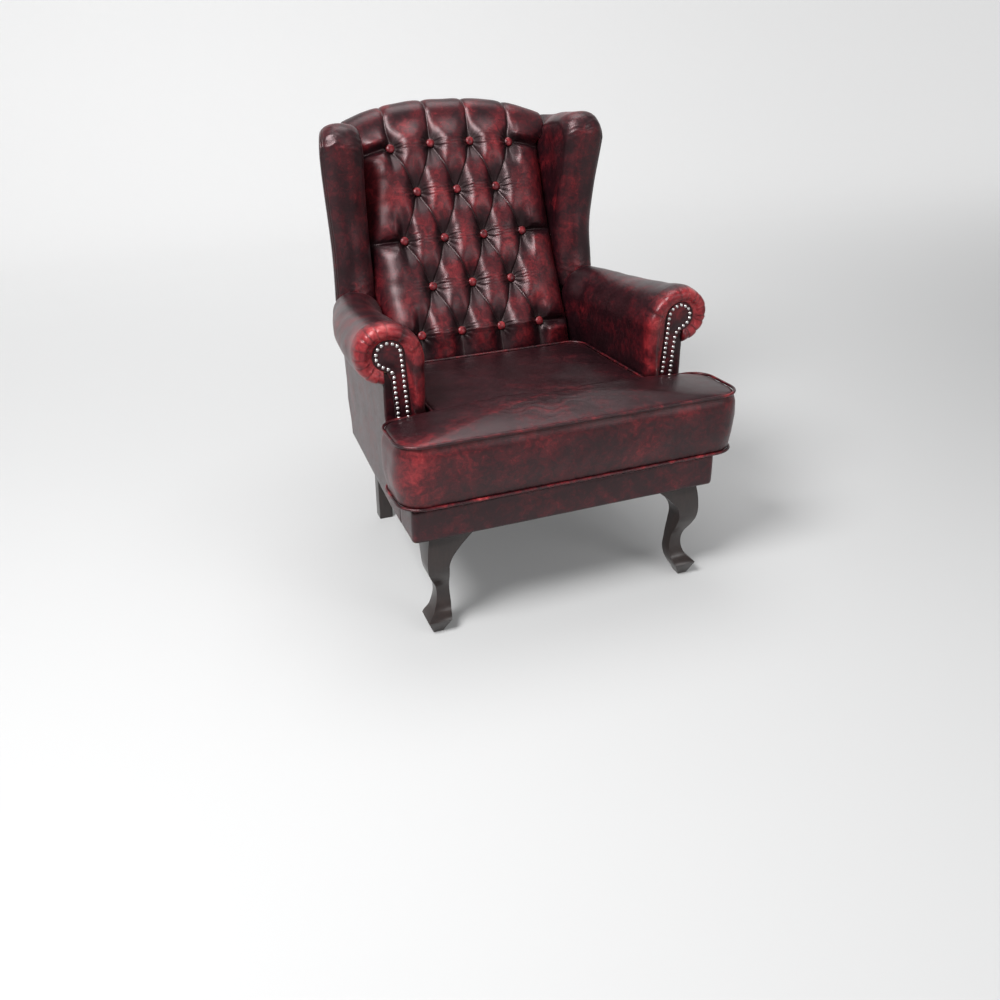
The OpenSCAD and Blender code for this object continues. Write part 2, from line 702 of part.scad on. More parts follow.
module outer_wing_panel(side) {
    high = ridge_end[2] - wing_round;
    outline = concat(drawn_in(wing_round + gap, wing_last - 1),
        [[back_y(high, skin_t + gap), high], [back_y(wing_low, skin_t + gap), wing_low]]);
    color(LEATHER) at_rail() flip(side) in_wing_plane() translate([0, 0, -skin_t])
        linear_extrude(skin_t) polygon(to_plane(outline));
}

module outer_wing_panel_left() { outer_wing_panel(-1); }
module outer_wing_panel_right() { outer_wing_panel(1); }

// Outside of the arm: a flat skin up to the roll, folded in behind the arm up to the wing

panel_shares = [0.1, 0.22, 0.4, 0.58, 0.76, 0.9, 1];
tab_low = rail_top + skin_t;
side_turn = atan(side_taper_share);
function roll_under(y) = arm_z(y) - sqrt(pow(arm_r(y), 2) - pow(side_x(y) - arm_x(y), 2)) - seam;
function side_pt(y, z) = [skin_x(y), y, z];
function inward(p) = p - skin_t * [cos(side_turn), sin(side_turn), 0];

module outer_arm_panel(side) {
    wing_foot = wing_front_y + wing_round;
    high = wing_low - seam;
    last_y = back_y(base_h, skin_t) - gap;
    lip_y = arm_end + gap;
    line = concat([[post_y, base_h], [last_y, base_h], [lip_y, roll_under(arm_end)]],
        [for (share = panel_shares) let (y = mix(arm_end, post_y, share)) [y, roll_under(y)]]);
    fold = [[wing_out(back_y(high, 0)), back_y(high, skin_t) - gap, high],
        [wing_out(wing_foot), wing_foot, high], side_pt(lip_y, high)];
    outer = concat([for (p = line) side_pt(p[0], p[1])], fold);
    n = len(line);
    rim = concat([0, 1, n, n + 1, n + 2], [for (i = [2:n - 1]) i]);
    all = n + 3;
    skin = concat([[for (i = [0:n - 1]) i]], [[2, 1, n], [2, n, n + 1], [2, n + 1, n + 2]]);
    tab_x = face_tail_out - 2 * nail_inset;
    color(LEATHER) at_rail() flip(side) {
        polyhedron(concat(outer, [for (p = outer) inward(p)]), concat([for (f = skin) reversed(f)],
            [for (f = skin) [for (i = f) i + all]],
            [for (k = [0:all - 1]) let (i = rim[k], j = rim[(k + 1) % all]) [i, j, j + all, i + all]]),
            convexity = 4);
        translate([base_half, 0, 0]) rotate([90, 0, -90]) linear_extrude(skin_t - gap)
            polygon([[-cover_return - over, base_h], [-post_y - seam, base_h],
                [-post_y - seam, tab_low + skin_t], [-face_back, tab_low + skin_t],
                [-face_back, rail_top - slack], [-cover_return - over, rail_top + skin_t]]);
        translate([tab_x, face_back, tab_low])
            cube([base_half - tab_x, post_y - gap - face_back, roll_under(post_y) - over - rail_top]);
        // The tab joins the panel past the outside of the arm post
        translate([post_out + gap, face_back, tab_low])
            cube([base_half - post_out - gap, post_y + seam - face_back, roll_under(post_y) - over - tab_low]);
    }
}

module outer_arm_panel_left() { outer_arm_panel(-1); }
module outer_arm_panel_right() { outer_arm_panel(1); }

module outer_back_panel() {
    mid_s = (wing_low - base_h) / cos_r;
    mid_x = wing_out(base_d + mid_s * sin_r) - seam;
    half = wing_out(base_d + post_top_s * sin_r) - seam;
    low_half = base_half - base_taper;
    color(LEATHER) on_back() rotate([90, 0, 0]) linear_extrude(skin_t)
        polygon(concat([[-mid_x, mid_s], [-low_half, 0], [low_half, 0], [mid_x, mid_s]],
            arched(half, crest_s - seam, 16)));
}

cover_lip = 10;

module rail_cover() {
    high = rail_h + skin_t;
    color(LEATHER) at_rail() difference() {
        translate([-base_half, 0, base_h]) cube([2 * base_half, cover_return, high]);
        translate([-rail_half, skin_t, base_h - over]) cube([2 * rail_half, cover_return, rail_h + over]);
        translate([-rail_half + rail_t, skin_t + cover_lip, base_h])
            cube([2 * (rail_half - rail_t), cover_return, high + over]);
    }
}

// Legs

knee_x = base_half - knee_in;
knee_h = 195;
ankle_h = 102;
toe_h = 36;
ankle_in = 45;
toe_in = 5;
sole_in = 25;
sole_back = 47;
leg_top_in = 12;
leg_w = 60;
leg_ear_h = 69;
ankle_w = 40;
ear_power = 1.6;
calf_power = 1.2;
leg_top = base_h - seam;
leg_bend = leg_top - leg_ear_h;

// Front line of the leg: distance in from the knee's plane at height z
function leg_outer(z) = z > knee_h ? leg_top_in * pow((z - knee_h) / (base_h - knee_h), 2)
    : z > ankle_h ? ankle_in * (1 - cos(180 * (knee_h - z) / (knee_h - ankle_h))) / 2
    : z > toe_h ? mix(ankle_in, toe_in, pow((ankle_h - z) / (ankle_h - toe_h), 2))
    : mix(toe_in, sole_in, (toe_h - z) / toe_h);
// Back line of the leg, which runs out into the bracket ear where ear is true
function leg_inner(z, ear) = z > leg_bend
        ? leg_w + (ear ? (ear_w - leg_w) * pow((z - leg_bend) / leg_ear_h, ear_power) : 0)
    : z > ankle_h ? mix(leg_w, ankle_in + ankle_w, (1 - cos(180 * (leg_bend - z) / (leg_bend - ankle_h))) / 2)
    : mix(ankle_in + ankle_w, sole_back, pow((ankle_h - z) / ankle_h, calf_power));
leg_stops = concat([0], [for (i = [0:8]) mix(toe_h, ankle_h, i / 8)],
    [for (i = [1:10]) mix(ankle_h, knee_h, i / 10)], [for (i = [1:6]) mix(knee_h, leg_top, i / 6)]);
function leg_profile(ear) = concat([for (z = leg_stops) [leg_outer(z), z]],
    [for (z = reversed(leg_stops)) [leg_inner(z, ear), z]]);

// The same profile is sawn through the blank from the front and from the side
module sawn_side(ear) {
    translate([0, 2 * ear_w, 0]) rotate([90, 0, 0]) linear_extrude(3 * ear_w)
        polygon([for (p = leg_profile(ear)) [knee_x - p[0], p[1]]]);
}

module sawn_front(ear) {
    translate([knee_x - 2 * ear_w, 0, 0]) rotate([90, 0, 90]) linear_extrude(3 * ear_w)
        polygon([for (p = leg_profile(ear)) [p[0] - knee_y, p[1]]]);
}

module front_leg(side) {
    color(DARK_WOOD) at_rail() flip(side) difference() {
        union() {
            intersection() {
                sawn_side(true);
                sawn_front(false);
            }
            intersection() {
                sawn_side(false);
                sawn_front(true);
            }
        }
        bolt_set(2 * hole_room);
    }
}

module front_leg_left() { front_leg(-1); }
module front_leg_right() { front_leg(1); }

module back_leg(side) {
    color(DARK_WOOD) at_rail() flip(side) difference() {
        translate([base_half - back_leg_in - back_leg_w, back_leg_y, 0])
            cube([back_leg_w, back_leg_w, leg_top]);
        bolt_set(2 * hole_room);
    }
}

module back_leg_left() { back_leg(-1); }
module back_leg_right() { back_leg(1); }

module leg_bolts() {
    color(STEEL) at_rail() {
        bolt_set(0);
        for (side = [-1, 1]) flip(side) {
            translate([front_bolt[0], front_bolt[1], base_h + block_h])
                cylinder(h = bolt_head_h, r = bolt_head_r, $fn = 6);
            translate([back_bolt[0], back_bolt[1], back_rail_top])
                cylinder(h = bolt_head_h, r = bolt_head_r, $fn = 6);
        }
    }
}

// Suspension

rail_bite = 14;
spring_front = skin_t + rail_t - rail_bite;
spring_back = back_rail_y + rail_bite;
seat_tilt = atan((rail_top - back_rail_top) / (back_rail_y - skin_t));
spring_margin = 84;
spring_pitch = 2 * (rail_half - rail_t - spring_half - spring_margin) / (spring_count - 1);
spring_bulge = 4;
wave_points = 4;

// The springs lie flat on both rails and slope down between them
function spring_fall(y) = tan(seat_tilt) * min(y, back_rail_y) * smooth((y - skin_t - rail_t) / (2 * rail_t));
function spring_path(x0) = [for (i = [0:spring_waves * wave_points])
    let (t = i / (spring_waves * wave_points))
    let (y = mix(spring_front, spring_back, t) + spring_bulge * sin(360 * spring_waves * t))
    [x0 + spring_half * cos(180 * spring_waves * t), y, rail_top + wire_r + gap - spring_fall(y)]];
function spring_x(i) = (i - (spring_count - 1) / 2) * spring_pitch;

module seat_springs() {
    color(STEEL) at_rail() for (i = [0:spring_count - 1])
        swept_tube(spring_path(spring_x(i)), wire_r, 5, false);
}

clip_w = 16;
clip_d = 12;
clip_t = 1.2;

// A folded steel clip that holds the end of a spring on the front rail
module spring_clips() {
    inner = 2 * wire_r + 2 * gap;
    color(STEEL) at_rail() for (i = [0:spring_count - 1])
        translate([spring_x(i) + spring_half - clip_w / 2, spring_front - clip_t - wire_r - gap, rail_top])
        difference() {
            cube([clip_w, clip_d, inner + clip_t]);
            translate([-over, clip_t, -over]) cube([clip_w + 2 * over, clip_d, inner + over]);
        }
}

deck_top = rail_top + skin_t + gap + deck_t;
deck_lip_t = 3.4;
lip_lengths = 3.2;
deck_lip = lip_lengths * rail_t;

// The deck lies on the springs, and its thin front lip covers the clips
module seat_deck() {
    half = rail_half - rail_t - over;
    back = foot_y - over;
    back_half = skin_x(back) - skin_t - rail_t - over;
    edge = skin_t + rail_t;
    fall = tan(seat_tilt);
    profile = [[skin_t, deck_top - skin_t * fall], [skin_t, deck_top - deck_lip_t],
        [edge, deck_top - deck_lip_t - gap], [deck_lip, deck_top - deck_lip_t - deck_lip * fall],
        [deck_lip, deck_top - deck_t - deck_lip * fall], [back, deck_top - deck_t - back * fall],
        [back, deck_top - back * fall]];
    color(CLOTH) at_rail() intersection() {
        translate([-half, 0, 0]) rotate([90, 0, 90]) linear_extrude(2 * half) polygon(profile);
        linear_extrude(base_h + rail_h) polygon([[-half, 0], [half, 0], [half, post_y],
            [back_half, back + over],
            [-back_half, back + over], [-half, post_y]]);
    }
}

module dust_cover() {
    inset = skin_t + seam;
    far_half = base_half - base_taper - inset;
    color(CLOTH) at_rail() difference() {
        translate([0, 0, leg_top]) linear_extrude(base_h - leg_top)
            polygon([[inset - base_half, inset], [base_half - inset, inset], [base_half - inset, post_y],
                [far_half, back_face - seam], [-far_half, back_face - seam], [inset - base_half, post_y]]);
        bolt_set(2 * hole_room);
    }
}

// Straps across the front of the back frame

web_w = 50;
web_t = 1.5;
web_rise = 1.2;
web_short = 46;
top_strap_rise = 1.6;
strap_rows = 6;
strap_shares = [-0.6, 0, 0.6];

module back_webbing() {
    low = lower_rail_s;
    high = crest_s - web_short;
    row_from = low + web_rise * web_w;
    row_to = high - top_strap_rise * web_w;
    color(CLOTH) on_back() translate([0, -post_front_n - web_t, 0]) {
        for (i = [0:strap_rows - 1]) {
            s = mix(row_from, row_to, i / (strap_rows - 1));
            half = post_in(s) + board_t / 2;
            translate([-half, 0, s]) cube([2 * half, web_t, web_w]);
        }
        for (share = strap_shares) translate([share * pad_half - web_w / 2, 0, low])
            cube([web_w, web_t, high - low]);
    }
}

// Buttoned inside back: a grid of columns across and rows up the rake. The folds run from button to
// button, and every pillow between them swells out.

columns_share = 0.4358;
button_pitch_x = pad_half * columns_share;
button_pitch_s = (crest_s - button_top - button_low) / 4;
pad_back_n = post_front_n + web_t + seam;
cells = 4;
valley_n = 82;
valley_rise = 34.7;
function valley(row) = valley_n + valley_rise * pow((4 - row) / 4, 3);
// Rows under the lowest buttons: shares of their distances in front and up, and of the pillows' height
foot_front_shares = [0.538, 0.8045, 0.947, 0.985];
foot_up_shares = [0.145, 0.446, 0.653, 0.835];
foot_pillow_shares = [0.15, 0.15, 0.3, 0.65];
// Rows over the top buttons: shares of their distances in front and under the crest, and of the pillows
head_front_shares = [0.988, 1.012];
head_under_shares = [0.641, 0.282];
head_pillow_shares = [0.7, 0.4];
upright = 90 - back_rake;
roll_turns = concat([for (i = [0:3]) upright * i / 3], [for (i = [1:3]) upright + 30 * i], [180]);
crest_fold = 8;

// Height of the swelling at u columns across and v rows up, between 0 in the folds and 1
fold_share = 0.45;
fold_power = 0.6;
function pillow(u, v) = let (uc = max(-1.5, min(1.5, u)), vc = max(-4, min(0, v)))
    let (a = 180 * (vc / 2 + uc - 0.5), b = 180 * (vc / 2 - uc + 0.5))
    fold_share * (1 - pow(cos(a) * cos(b), 2)) + (1 - fold_share) * pow(abs(sin(a) * sin(b)), fold_power);

// Rows as [rows up from the top buttons, distance in front, pillow height, distance up the rake, turn or -1]
back_rows = concat(
    [for (i = [0:3]) [-4, valley(0) * foot_front_shares[i], pillow_h * foot_pillow_shares[i],
        button_low * foot_up_shares[i], -1]],
    [for (j = [0:4 * cells]) [j / cells - 4, valley(j / cells), pillow_h,
        button_low + j * button_pitch_s / cells,
        -1]],
    [for (i = [0:1]) [0, valley_n * head_front_shares[i], pillow_h * head_pillow_shares[i],
        crest_s - button_top * head_under_shares[i], -1]],
    [for (a = roll_turns) [0, 0, 0, crest_s, a]]);

side_shares = [0.35, 0.7, 1];
edge_x = 1.5 * button_pitch_x;
function column(i) = i * button_pitch_x / (2 * cells);
back_cols = concat([for (t = reversed(side_shares)) -mix(edge_x, pad_half, t)],
    [for (i = [-3 * cells:3 * cells]) column(i)], [for (t = side_shares) mix(edge_x, pad_half, t)]);
edge_sink = 12;
function edge_t(x) = clamp((abs(x) - edge_x) / (pad_half - edge_x));

sag_from = button_low + 3 * button_pitch_s;
function sag(x, s) = crest_drop(x) * smooth((s - sag_from) / (crest_s - sag_from));
// The crest flares over the sides of the pad
function wide(x, s) = x * (1 + crest_flare / pad_half * smooth((s - flare_s) / flare_run)
    * pow(abs(x) / pad_half, 2));

function pad_point(x, row) = let (h = pillow(x / button_pitch_x, row[0]), w = wide(x, row[3]))
    row[4] < 0
    ? let (n = row[1] + row[2] * h * (1 - pow(edge_t(x), 3)) - edge_sink * pow(edge_t(x), 4))
        back_pt(w, n, row[3] - sag(w, row[3]))
    : let (r = crest_r - crest_fold * (1 - h) * (1 - row[4] / 200))
        back_pt(w, crest_n + r * cos(row[4]), crest_s - crest_drop(w) + r * sin(row[4]));

// Back of the pad: up the webbing, over the crest rail and down behind it
rail_room = 8;
front_turn = 60;
back_turn = 130;
function rear_point(x, row) = let (w = wide(x, row[3]), top = crest_top_s + rail_room, a = row[4])
    a < 0 ? back_pt(w, pad_back_n, row[3] - sag(w, row[3]))
    : a < front_turn ? back_pt(w, pad_back_n, mix(crest_s, top, a / front_turn) - crest_drop(w))
    : a < back_turn
    ? back_pt(w, mix(pad_back_n, -gap, (a - front_turn) / (back_turn - front_turn)), top - crest_drop(w))
    : back_pt(w, -gap, mix(top, crest_s, (a - back_turn) / (180 - back_turn)) - crest_drop(w));

function off_fold(v) = abs(v - round(v));

// The rear has only every fifth column
rear_every = 5;

module tufted_back() {
    nr = len(back_rows);
    nc = len(back_cols);
    mc = (nc - 1) / rear_every + 1;
    base = nr * nc;
    front = [for (row = back_rows) for (x = back_cols) pad_point(x, row)];
    rear = [for (row = back_rows) for (j = [0:mc - 1]) rear_point(back_cols[j * rear_every], row)];
    skin = [for (i = [0:nr - 2]) for (j = [0:nc - 2])
        let (a = i * nc + j, b = a + 1, c = a + nc + 1, d = a + nc)
        let (v = (back_rows[i][0] + back_rows[i + 1][0]) / 4)
        let (u = (back_cols[j] + back_cols[j + 1]) / 2 / button_pitch_x - 0.5)
        each (off_fold(v - u) < off_fold(v + u) ? [[a, c, b], [a, d, c]] : [[a, d, b], [b, d, c]])];
    lining = [for (i = [0:nr - 2]) for (j = [0:mc - 2]) let (a = base + i * mc + j)
        each [[a, a + 1, a + mc + 1], [a, a + mc + 1, a + mc]]];
    ends = [for (i = [0:nr - 2])
        let (a = i * nc, b = a + nc - 1, p = base + i * mc, q = p + mc - 1)
        each [[a, p, p + mc], [a, p + mc, a + nc], [b, q + mc, q], [b, b + nc, q + mc]]];
    // Fans that join the full grid to the lining, at the foot and behind the crest
    last = (nr - 1) * nc;
    foot = [for (g = [0:mc - 2]) let (p = base + g, f = g * rear_every)
        each concat([for (k = [0:rear_every - 1]) [p, f + k, f + k + 1]], [[p, f + rear_every, p + 1]])];
    tip = [for (g = [0:mc - 2]) let (p = base + (nr - 1) * mc + g, f = last + g * rear_every)
        each concat([for (k = [0:rear_every - 1]) [p, f + k + 1, f + k]], [[p, p + 1, f + rear_every]])];
    color(LEATHER_RED) at_rail() polyhedron(concat(front, rear), concat(skin, lining, ends, foot, tip),
        convexity = 10);
}

button_h = 7;
// The rim of a button rests on the sides of its dimple
button_seat = pillow_h * pillow(0.5 + 0.5 / cells, 0) * (button_d / 2) / column(1) + gap;

module back_buttons() {
    color(LEATHER_RED) for (row = [0:4]) {
        count = 4 - row % 2;
        s = button_low + row * button_pitch_s;
        for (i = [0:count - 1]) {
            x = (i - (count - 1) / 2) * button_pitch_x;
            on_back() translate([x, -valley(row) - button_seat, s - sag(x, s)]) dome(button_d, button_h, 48);
        }
    }
}

// Seat cushion: rings of one outline, drawn in by d, on a plane that falls towards the back

ear_half = base_half + ear_out;
seat_room = 61;
ear_room = 6;
cushion_back = base_d - seat_room;
ear_back = face_front - roll_nose - ear_room;
neck_half = arm_in_half - 2 * gap;
nose_r = 62;
ear_r = 22;
neck_r = 4;
rear_r = 45;
seam_in = 9;
seam_low = 9;
cushion_low = deck_top + gap;
crown_forward = 45;
cushion_c = [0, ear_back - crown_forward];

function half_outline(d) = concat(
    arc_pts(ear_half - nose_r, -nose + nose_r, nose_r - d, -90, 0, 7),
    arc_pts(ear_half - ear_r, ear_back - ear_r, ear_r - d, 0, 90, 4),
    arc_pts(neck_half + neck_r, ear_back + neck_r, neck_r + d, -90, -180, 3),
    arc_pts(neck_half - rear_r, cushion_back - rear_r, rear_r - d, 0, 90, 5));
function outline(d) = let (half = half_outline(d)) concat(half, [for (p = reversed(half)) [-p[0], p[1]]]);
function seat_pt(p, z) = [p[0], p[1], cushion_low + z - p[1] * tan(seat_tilt)];
function ring_at(d, z) = [for (p = outline(d)) seat_pt(p, z)];
function ring_in(share, z) = [for (p = outline(seam_in)) seat_pt(mix(cushion_c, p, share), z)];

// Border rings, as shares of the seam's draw-in and of the height, and the rings of the crown
border_in_shares = [0.67, 0.17, 0, 0.33];
border_up_shares = [0.13, 0.33, 0.55, 0.82];
crown_shares = [0.93, 0.8, 0.6, 0.35];
crown_power = 0.9;
bottom_shares = [0.5, 0.93];

module seat_cushion() {
    rings = concat([ring_in(bottom_shares[0], 0), ring_in(bottom_shares[1], gap), ring_at(seam_in, seam_low)],
        [for (i = [0:3]) ring_at(seam_in * border_in_shares[i],
            mix(seam_low, cushion_h, border_up_shares[i]))],
        [ring_at(seam_in, cushion_h)],
        [for (share = crown_shares) ring_in(share, cushion_h + crown_h * pow(1 - share * share, crown_power))]);
    color(LEATHER_RED) at_rail() capped_rings(rings, seat_pt(cushion_c, 0),
        seat_pt(cushion_c, cushion_h + crown_h));
}

welt_share = 1;
welt_off = welt_share * welt_r;

module cushion_welt_top() {
    color(LEATHER_RED) at_rail()
        swept_tube(ring_at(seam_in - welt_off, cushion_h + welt_off), welt_r, 6, true);
}

module cushion_welt_bottom() {
    color(LEATHER_RED) at_rail()
        swept_tube(ring_at(seam_in - welt_off, seam_low - welt_off), welt_r, 6, true);
}

front_seat_rail();
back_seat_rail();
side_seat_rail_left();
side_seat_rail_right();
corner_blocks();
frame_dowels();
back_post_left();
back_post_right();
crest_rail();
lower_back_rail();
arm_post_left();
arm_post_right();
arm_rail_left();
arm_rail_right();
wing_board_left();
wing_board_right();
front_leg_left();
front_leg_right();
back_leg_left();
back_leg_right();
leg_bolts();
seat_springs();
spring_clips();
seat_deck();
dust_cover();
back_webbing();
tufted_back();
back_buttons();
wing_pad_left();
wing_pad_right();
arm_pad_left();
arm_pad_right();
arm_facing_left();
arm_facing_right();
facing_nails_left();
facing_nails_right();
outer_arm_panel_left();
outer_arm_panel_right();
outer_wing_panel_left();
outer_wing_panel_right();
outer_back_panel();
rail_cover();
seat_cushion();
cushion_welt_top();
cushion_welt_bottom();
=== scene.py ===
# %% [markdown]
# # A buttoned wing armchair in rubbed oxblood leather
# The chair is dressed over its solid parts. The solids give every size and the moving parts, and this
# lesson gives the looks: deep buttoned leather with folds, gathered scroll arms, rows of dome nails, a
# full seat cushion with piping, and dark shaped legs on a pale studio floor.
# All sizes are in millimetres in one working frame, whose y runs back from the face of the front rail,
# because that is how a maker measures a chair. One helper turns them into metres for Blender.

import json
import math

import bmesh
import bpy
import numpy as np
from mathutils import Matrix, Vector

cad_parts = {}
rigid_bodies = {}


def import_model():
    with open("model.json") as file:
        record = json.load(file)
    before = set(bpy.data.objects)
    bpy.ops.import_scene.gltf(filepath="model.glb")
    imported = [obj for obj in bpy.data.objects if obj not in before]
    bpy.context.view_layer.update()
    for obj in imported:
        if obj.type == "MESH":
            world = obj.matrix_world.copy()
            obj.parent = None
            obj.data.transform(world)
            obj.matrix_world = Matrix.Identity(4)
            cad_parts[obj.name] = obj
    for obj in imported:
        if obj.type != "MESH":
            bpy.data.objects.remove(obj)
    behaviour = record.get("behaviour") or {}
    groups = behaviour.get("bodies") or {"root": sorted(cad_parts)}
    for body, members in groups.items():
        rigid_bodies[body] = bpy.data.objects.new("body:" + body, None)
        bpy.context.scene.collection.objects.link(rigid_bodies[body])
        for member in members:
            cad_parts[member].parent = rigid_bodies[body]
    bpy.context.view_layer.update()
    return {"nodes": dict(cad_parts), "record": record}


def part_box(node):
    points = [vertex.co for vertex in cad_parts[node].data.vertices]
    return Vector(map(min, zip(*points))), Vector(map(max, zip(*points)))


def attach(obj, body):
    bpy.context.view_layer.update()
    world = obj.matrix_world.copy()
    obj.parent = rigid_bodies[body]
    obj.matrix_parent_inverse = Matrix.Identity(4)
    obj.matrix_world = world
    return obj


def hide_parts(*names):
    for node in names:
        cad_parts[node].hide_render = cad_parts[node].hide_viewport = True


for extra in list(bpy.data.objects):
    bpy.data.objects.remove(extra)
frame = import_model()

CHAIR_H, CHAIR_D, RAIL_Y, NOSE = 1060.0, 940.0, -445.0, 25.0
RAKE = math.radians(22.9)
SIN_R, COS_R, TAN_R = math.sin(RAKE), math.cos(RAKE), math.tan(RAKE)
BASE_H, SIDE_HALF, SIDE_TAPER, POST_Y = 250.0, 372.0, 12.0, 184.0
CREST_N, CREST_R = 44.0, 48.0
CREST_S = (CHAIR_H - CREST_R - BASE_H - CREST_N * SIN_R) / COS_R
BASE_D = CHAIR_D - NOSE - CREST_R - CREST_S * SIN_R + CREST_N * COS_R
ROLL_Z = BASE_H + 0.4506 * (CHAIR_H - BASE_H)
ARM_BACK_Z = BASE_H + 0.4074 * (CHAIR_H - BASE_H)
BOARD = 4 / COS_R
print("depth of the base", round(BASE_D, 1), "and length of the rake", round(CREST_S, 1))

# %% [markdown]
# The back leans, so a place on it is easiest to give by two numbers: n is how far it lies in front of the
# outside of the back, and s how far up the rake. These helpers turn such places into points and back.

# %% Small helpers for values and places
def clamp(value, low=0.0, high=1.0):
    return np.minimum(high, np.maximum(low, value))


def ease(value):
    t = clamp(value)
    return t * t * (3 - 2 * t)


def mix(a, b, t):
    return a + (b - a) * t


def put(*values):
    """Points from their separate coordinates, where a plain number is the same for all of them."""
    return np.stack(np.broadcast_arrays(*values), axis=-1)


def unit(rows):
    return rows / np.linalg.norm(rows, axis=-1)[..., None]


def run_along(line):
    """How far along a line each of its points is."""
    return np.concatenate([[0], np.cumsum(np.linalg.norm(np.diff(line, axis=0), axis=1))])


def back_point(x, n, s):
    return put(x, BASE_D + s * SIN_R - n * COS_R, BASE_H + s * COS_R + n * SIN_R)


def back_n_s(y, z):
    return (z - BASE_H) * SIN_R - (y - BASE_D) * COS_R, (z - BASE_H) * COS_R + (y - BASE_D) * SIN_R


def back_y(z):
    """Where the outside of the back is at height z."""
    return BASE_D + (z - BASE_H) * TAN_R


def back_z(y):
    """The height at which y meets the plane of the back's lining, 4 mm inside its outside."""
    return BASE_H + (y - BASE_D + BOARD) / TAN_R


def metres(points):
    moved = np.array(points, dtype=float)
    moved[..., 1] += RAIL_Y
    return moved / 1000.0


ARM_END = back_y(ARM_BACK_Z) - 106.0
print("the arms end", round(ARM_END, 1), "behind the front rail")

# %% [markdown]
# Leather is never perfectly even, so every padded piece gets a little waviness. A sum of sine waves with
# random directions gives a smooth, cheap unevenness that is the same on every run, because the random
# numbers have a fixed seed. A smooth curve through a few stations serves for everything else.

# %% Smooth unevenness, and a smooth curve through a few stations
def waves(points, length, seed, count=14):
    """Smooth values of about -1 to 1 whose bumps are about that many millimetres long."""
    pick = np.random.RandomState(seed)
    total = np.zeros(points.shape[:-1])
    for _ in range(count):
        way = pick.normal(size=3)
        way *= 2 * math.pi / (length * pick.uniform(0.7, 1.5)) / np.linalg.norm(way)
        total += np.sin(points @ way + pick.uniform(0, 2 * math.pi))
    return total / math.sqrt(count)


def through(stations, at):
    """A smooth line through the given rows of values, read at positions counted in rows."""
    rows = np.array(stations, dtype=float)
    last = len(rows) - 1
    k = np.clip(np.floor(at).astype(int), 0, last - 1)
    t = (at - k)[..., None]
    before, here, there, after = (rows[np.clip(k + d, 0, last)] for d in (-1, 0, 1, 2))
    return here + 0.5 * t * (
        there - before + t * (2 * before - 5 * here + 4 * there - after + t * (3 * (here - there) + after - before))
    )


print("a curve through 0, 1, 0 reads", round(float(through([[0], [1], [0]], np.array([0.5]))[0, 0]), 2), "at a half")

# %% [markdown]
# ## One way of making every padded form
# A padded form has two directions: along it and around its section. So each one starts as a flat grid,
# and a function gives every grid point its place. The section closes on itself, the two ends are filled,
# and the touching points are merged. The same function also marks each point with how rubbed the leather
# is there and how much painted shade it gets in folds, seams and hollows, and the leather material reads those marks.

# %% The helper for padded forms
def select_only(*pieces):
    """Select these pieces and nothing else; the first one is the active one."""
    if bpy.context.object and bpy.context.object.mode != "OBJECT":
        bpy.ops.object.mode_set(mode="OBJECT")
    bpy.ops.object.select_all(action="DESELECT")
    for piece in pieces:
        piece.select_set(True)
    if pieces:
        bpy.context.view_layer.objects.active = pieces[0]


def grid_form(name, across, around, place, wrap=True, ends=True, mirror=False):
    """A grid of across by around steps, moved to place(i, j), which returns points in mm and a dict of marks."""
    select_only()
    bpy.ops.mesh.primitive_grid_add(x_subdivisions=across, y_subdivisions=around, size=2, location=(0, 0, 0))
    piece = bpy.context.object
    piece.name = piece.data.name = name
    flat = np.empty(len(piece.data.vertices) * 3)
    piece.data.vertices.foreach_get("co", flat)
    flat = flat.reshape(-1, 3)
    i = np.rint((flat[:, 0] + 1) / 2 * across).astype(int)
    j = np.rint((flat[:, 1] + 1) / 2 * around).astype(int)
    points, marks = place(i, np.where(j == around, 0, j) if wrap else j)
    points = metres(points)
    if mirror:
        points[:, 0] *= -1
    piece.data.vertices.foreach_set("co", points.ravel())
    for key, values in marks.items():
        layer = piece.data.attributes.new(key, "FLOAT", "POINT")
        layer.data.foreach_set("value", clamp(values).astype(np.float32))
    order = np.full((across + 1, around + 1), -1)
    order[i, j] = np.arange(len(i))
    work = bmesh.new()
    work.from_mesh(piece.data)
    work.verts.ensure_lookup_table()
    if ends:
        stop = around if wrap else around + 1
        for column in (order[0], order[across]):
            work.faces.new([work.verts[k] for k in column[:stop]])
    bmesh.ops.remove_doubles(work, verts=work.verts, dist=0.00002)
    bmesh.ops.dissolve_degenerate(work, edges=work.edges, dist=0.00001)
    if wrap or ends:
        bmesh.ops.recalc_face_normals(work, faces=work.faces)
    work.to_mesh(piece.data)
    work.free()
    piece.data.update()
    bpy.ops.object.shade_smooth()
    print(name, "has", len(piece.data.polygons), "faces")
    return piece


# %% [markdown]
# Piping and welts are cords in a leather cover, so they are a round section carried along a line. The same
# helper serves the cushion's piping and the thin welt round the arm fronts.

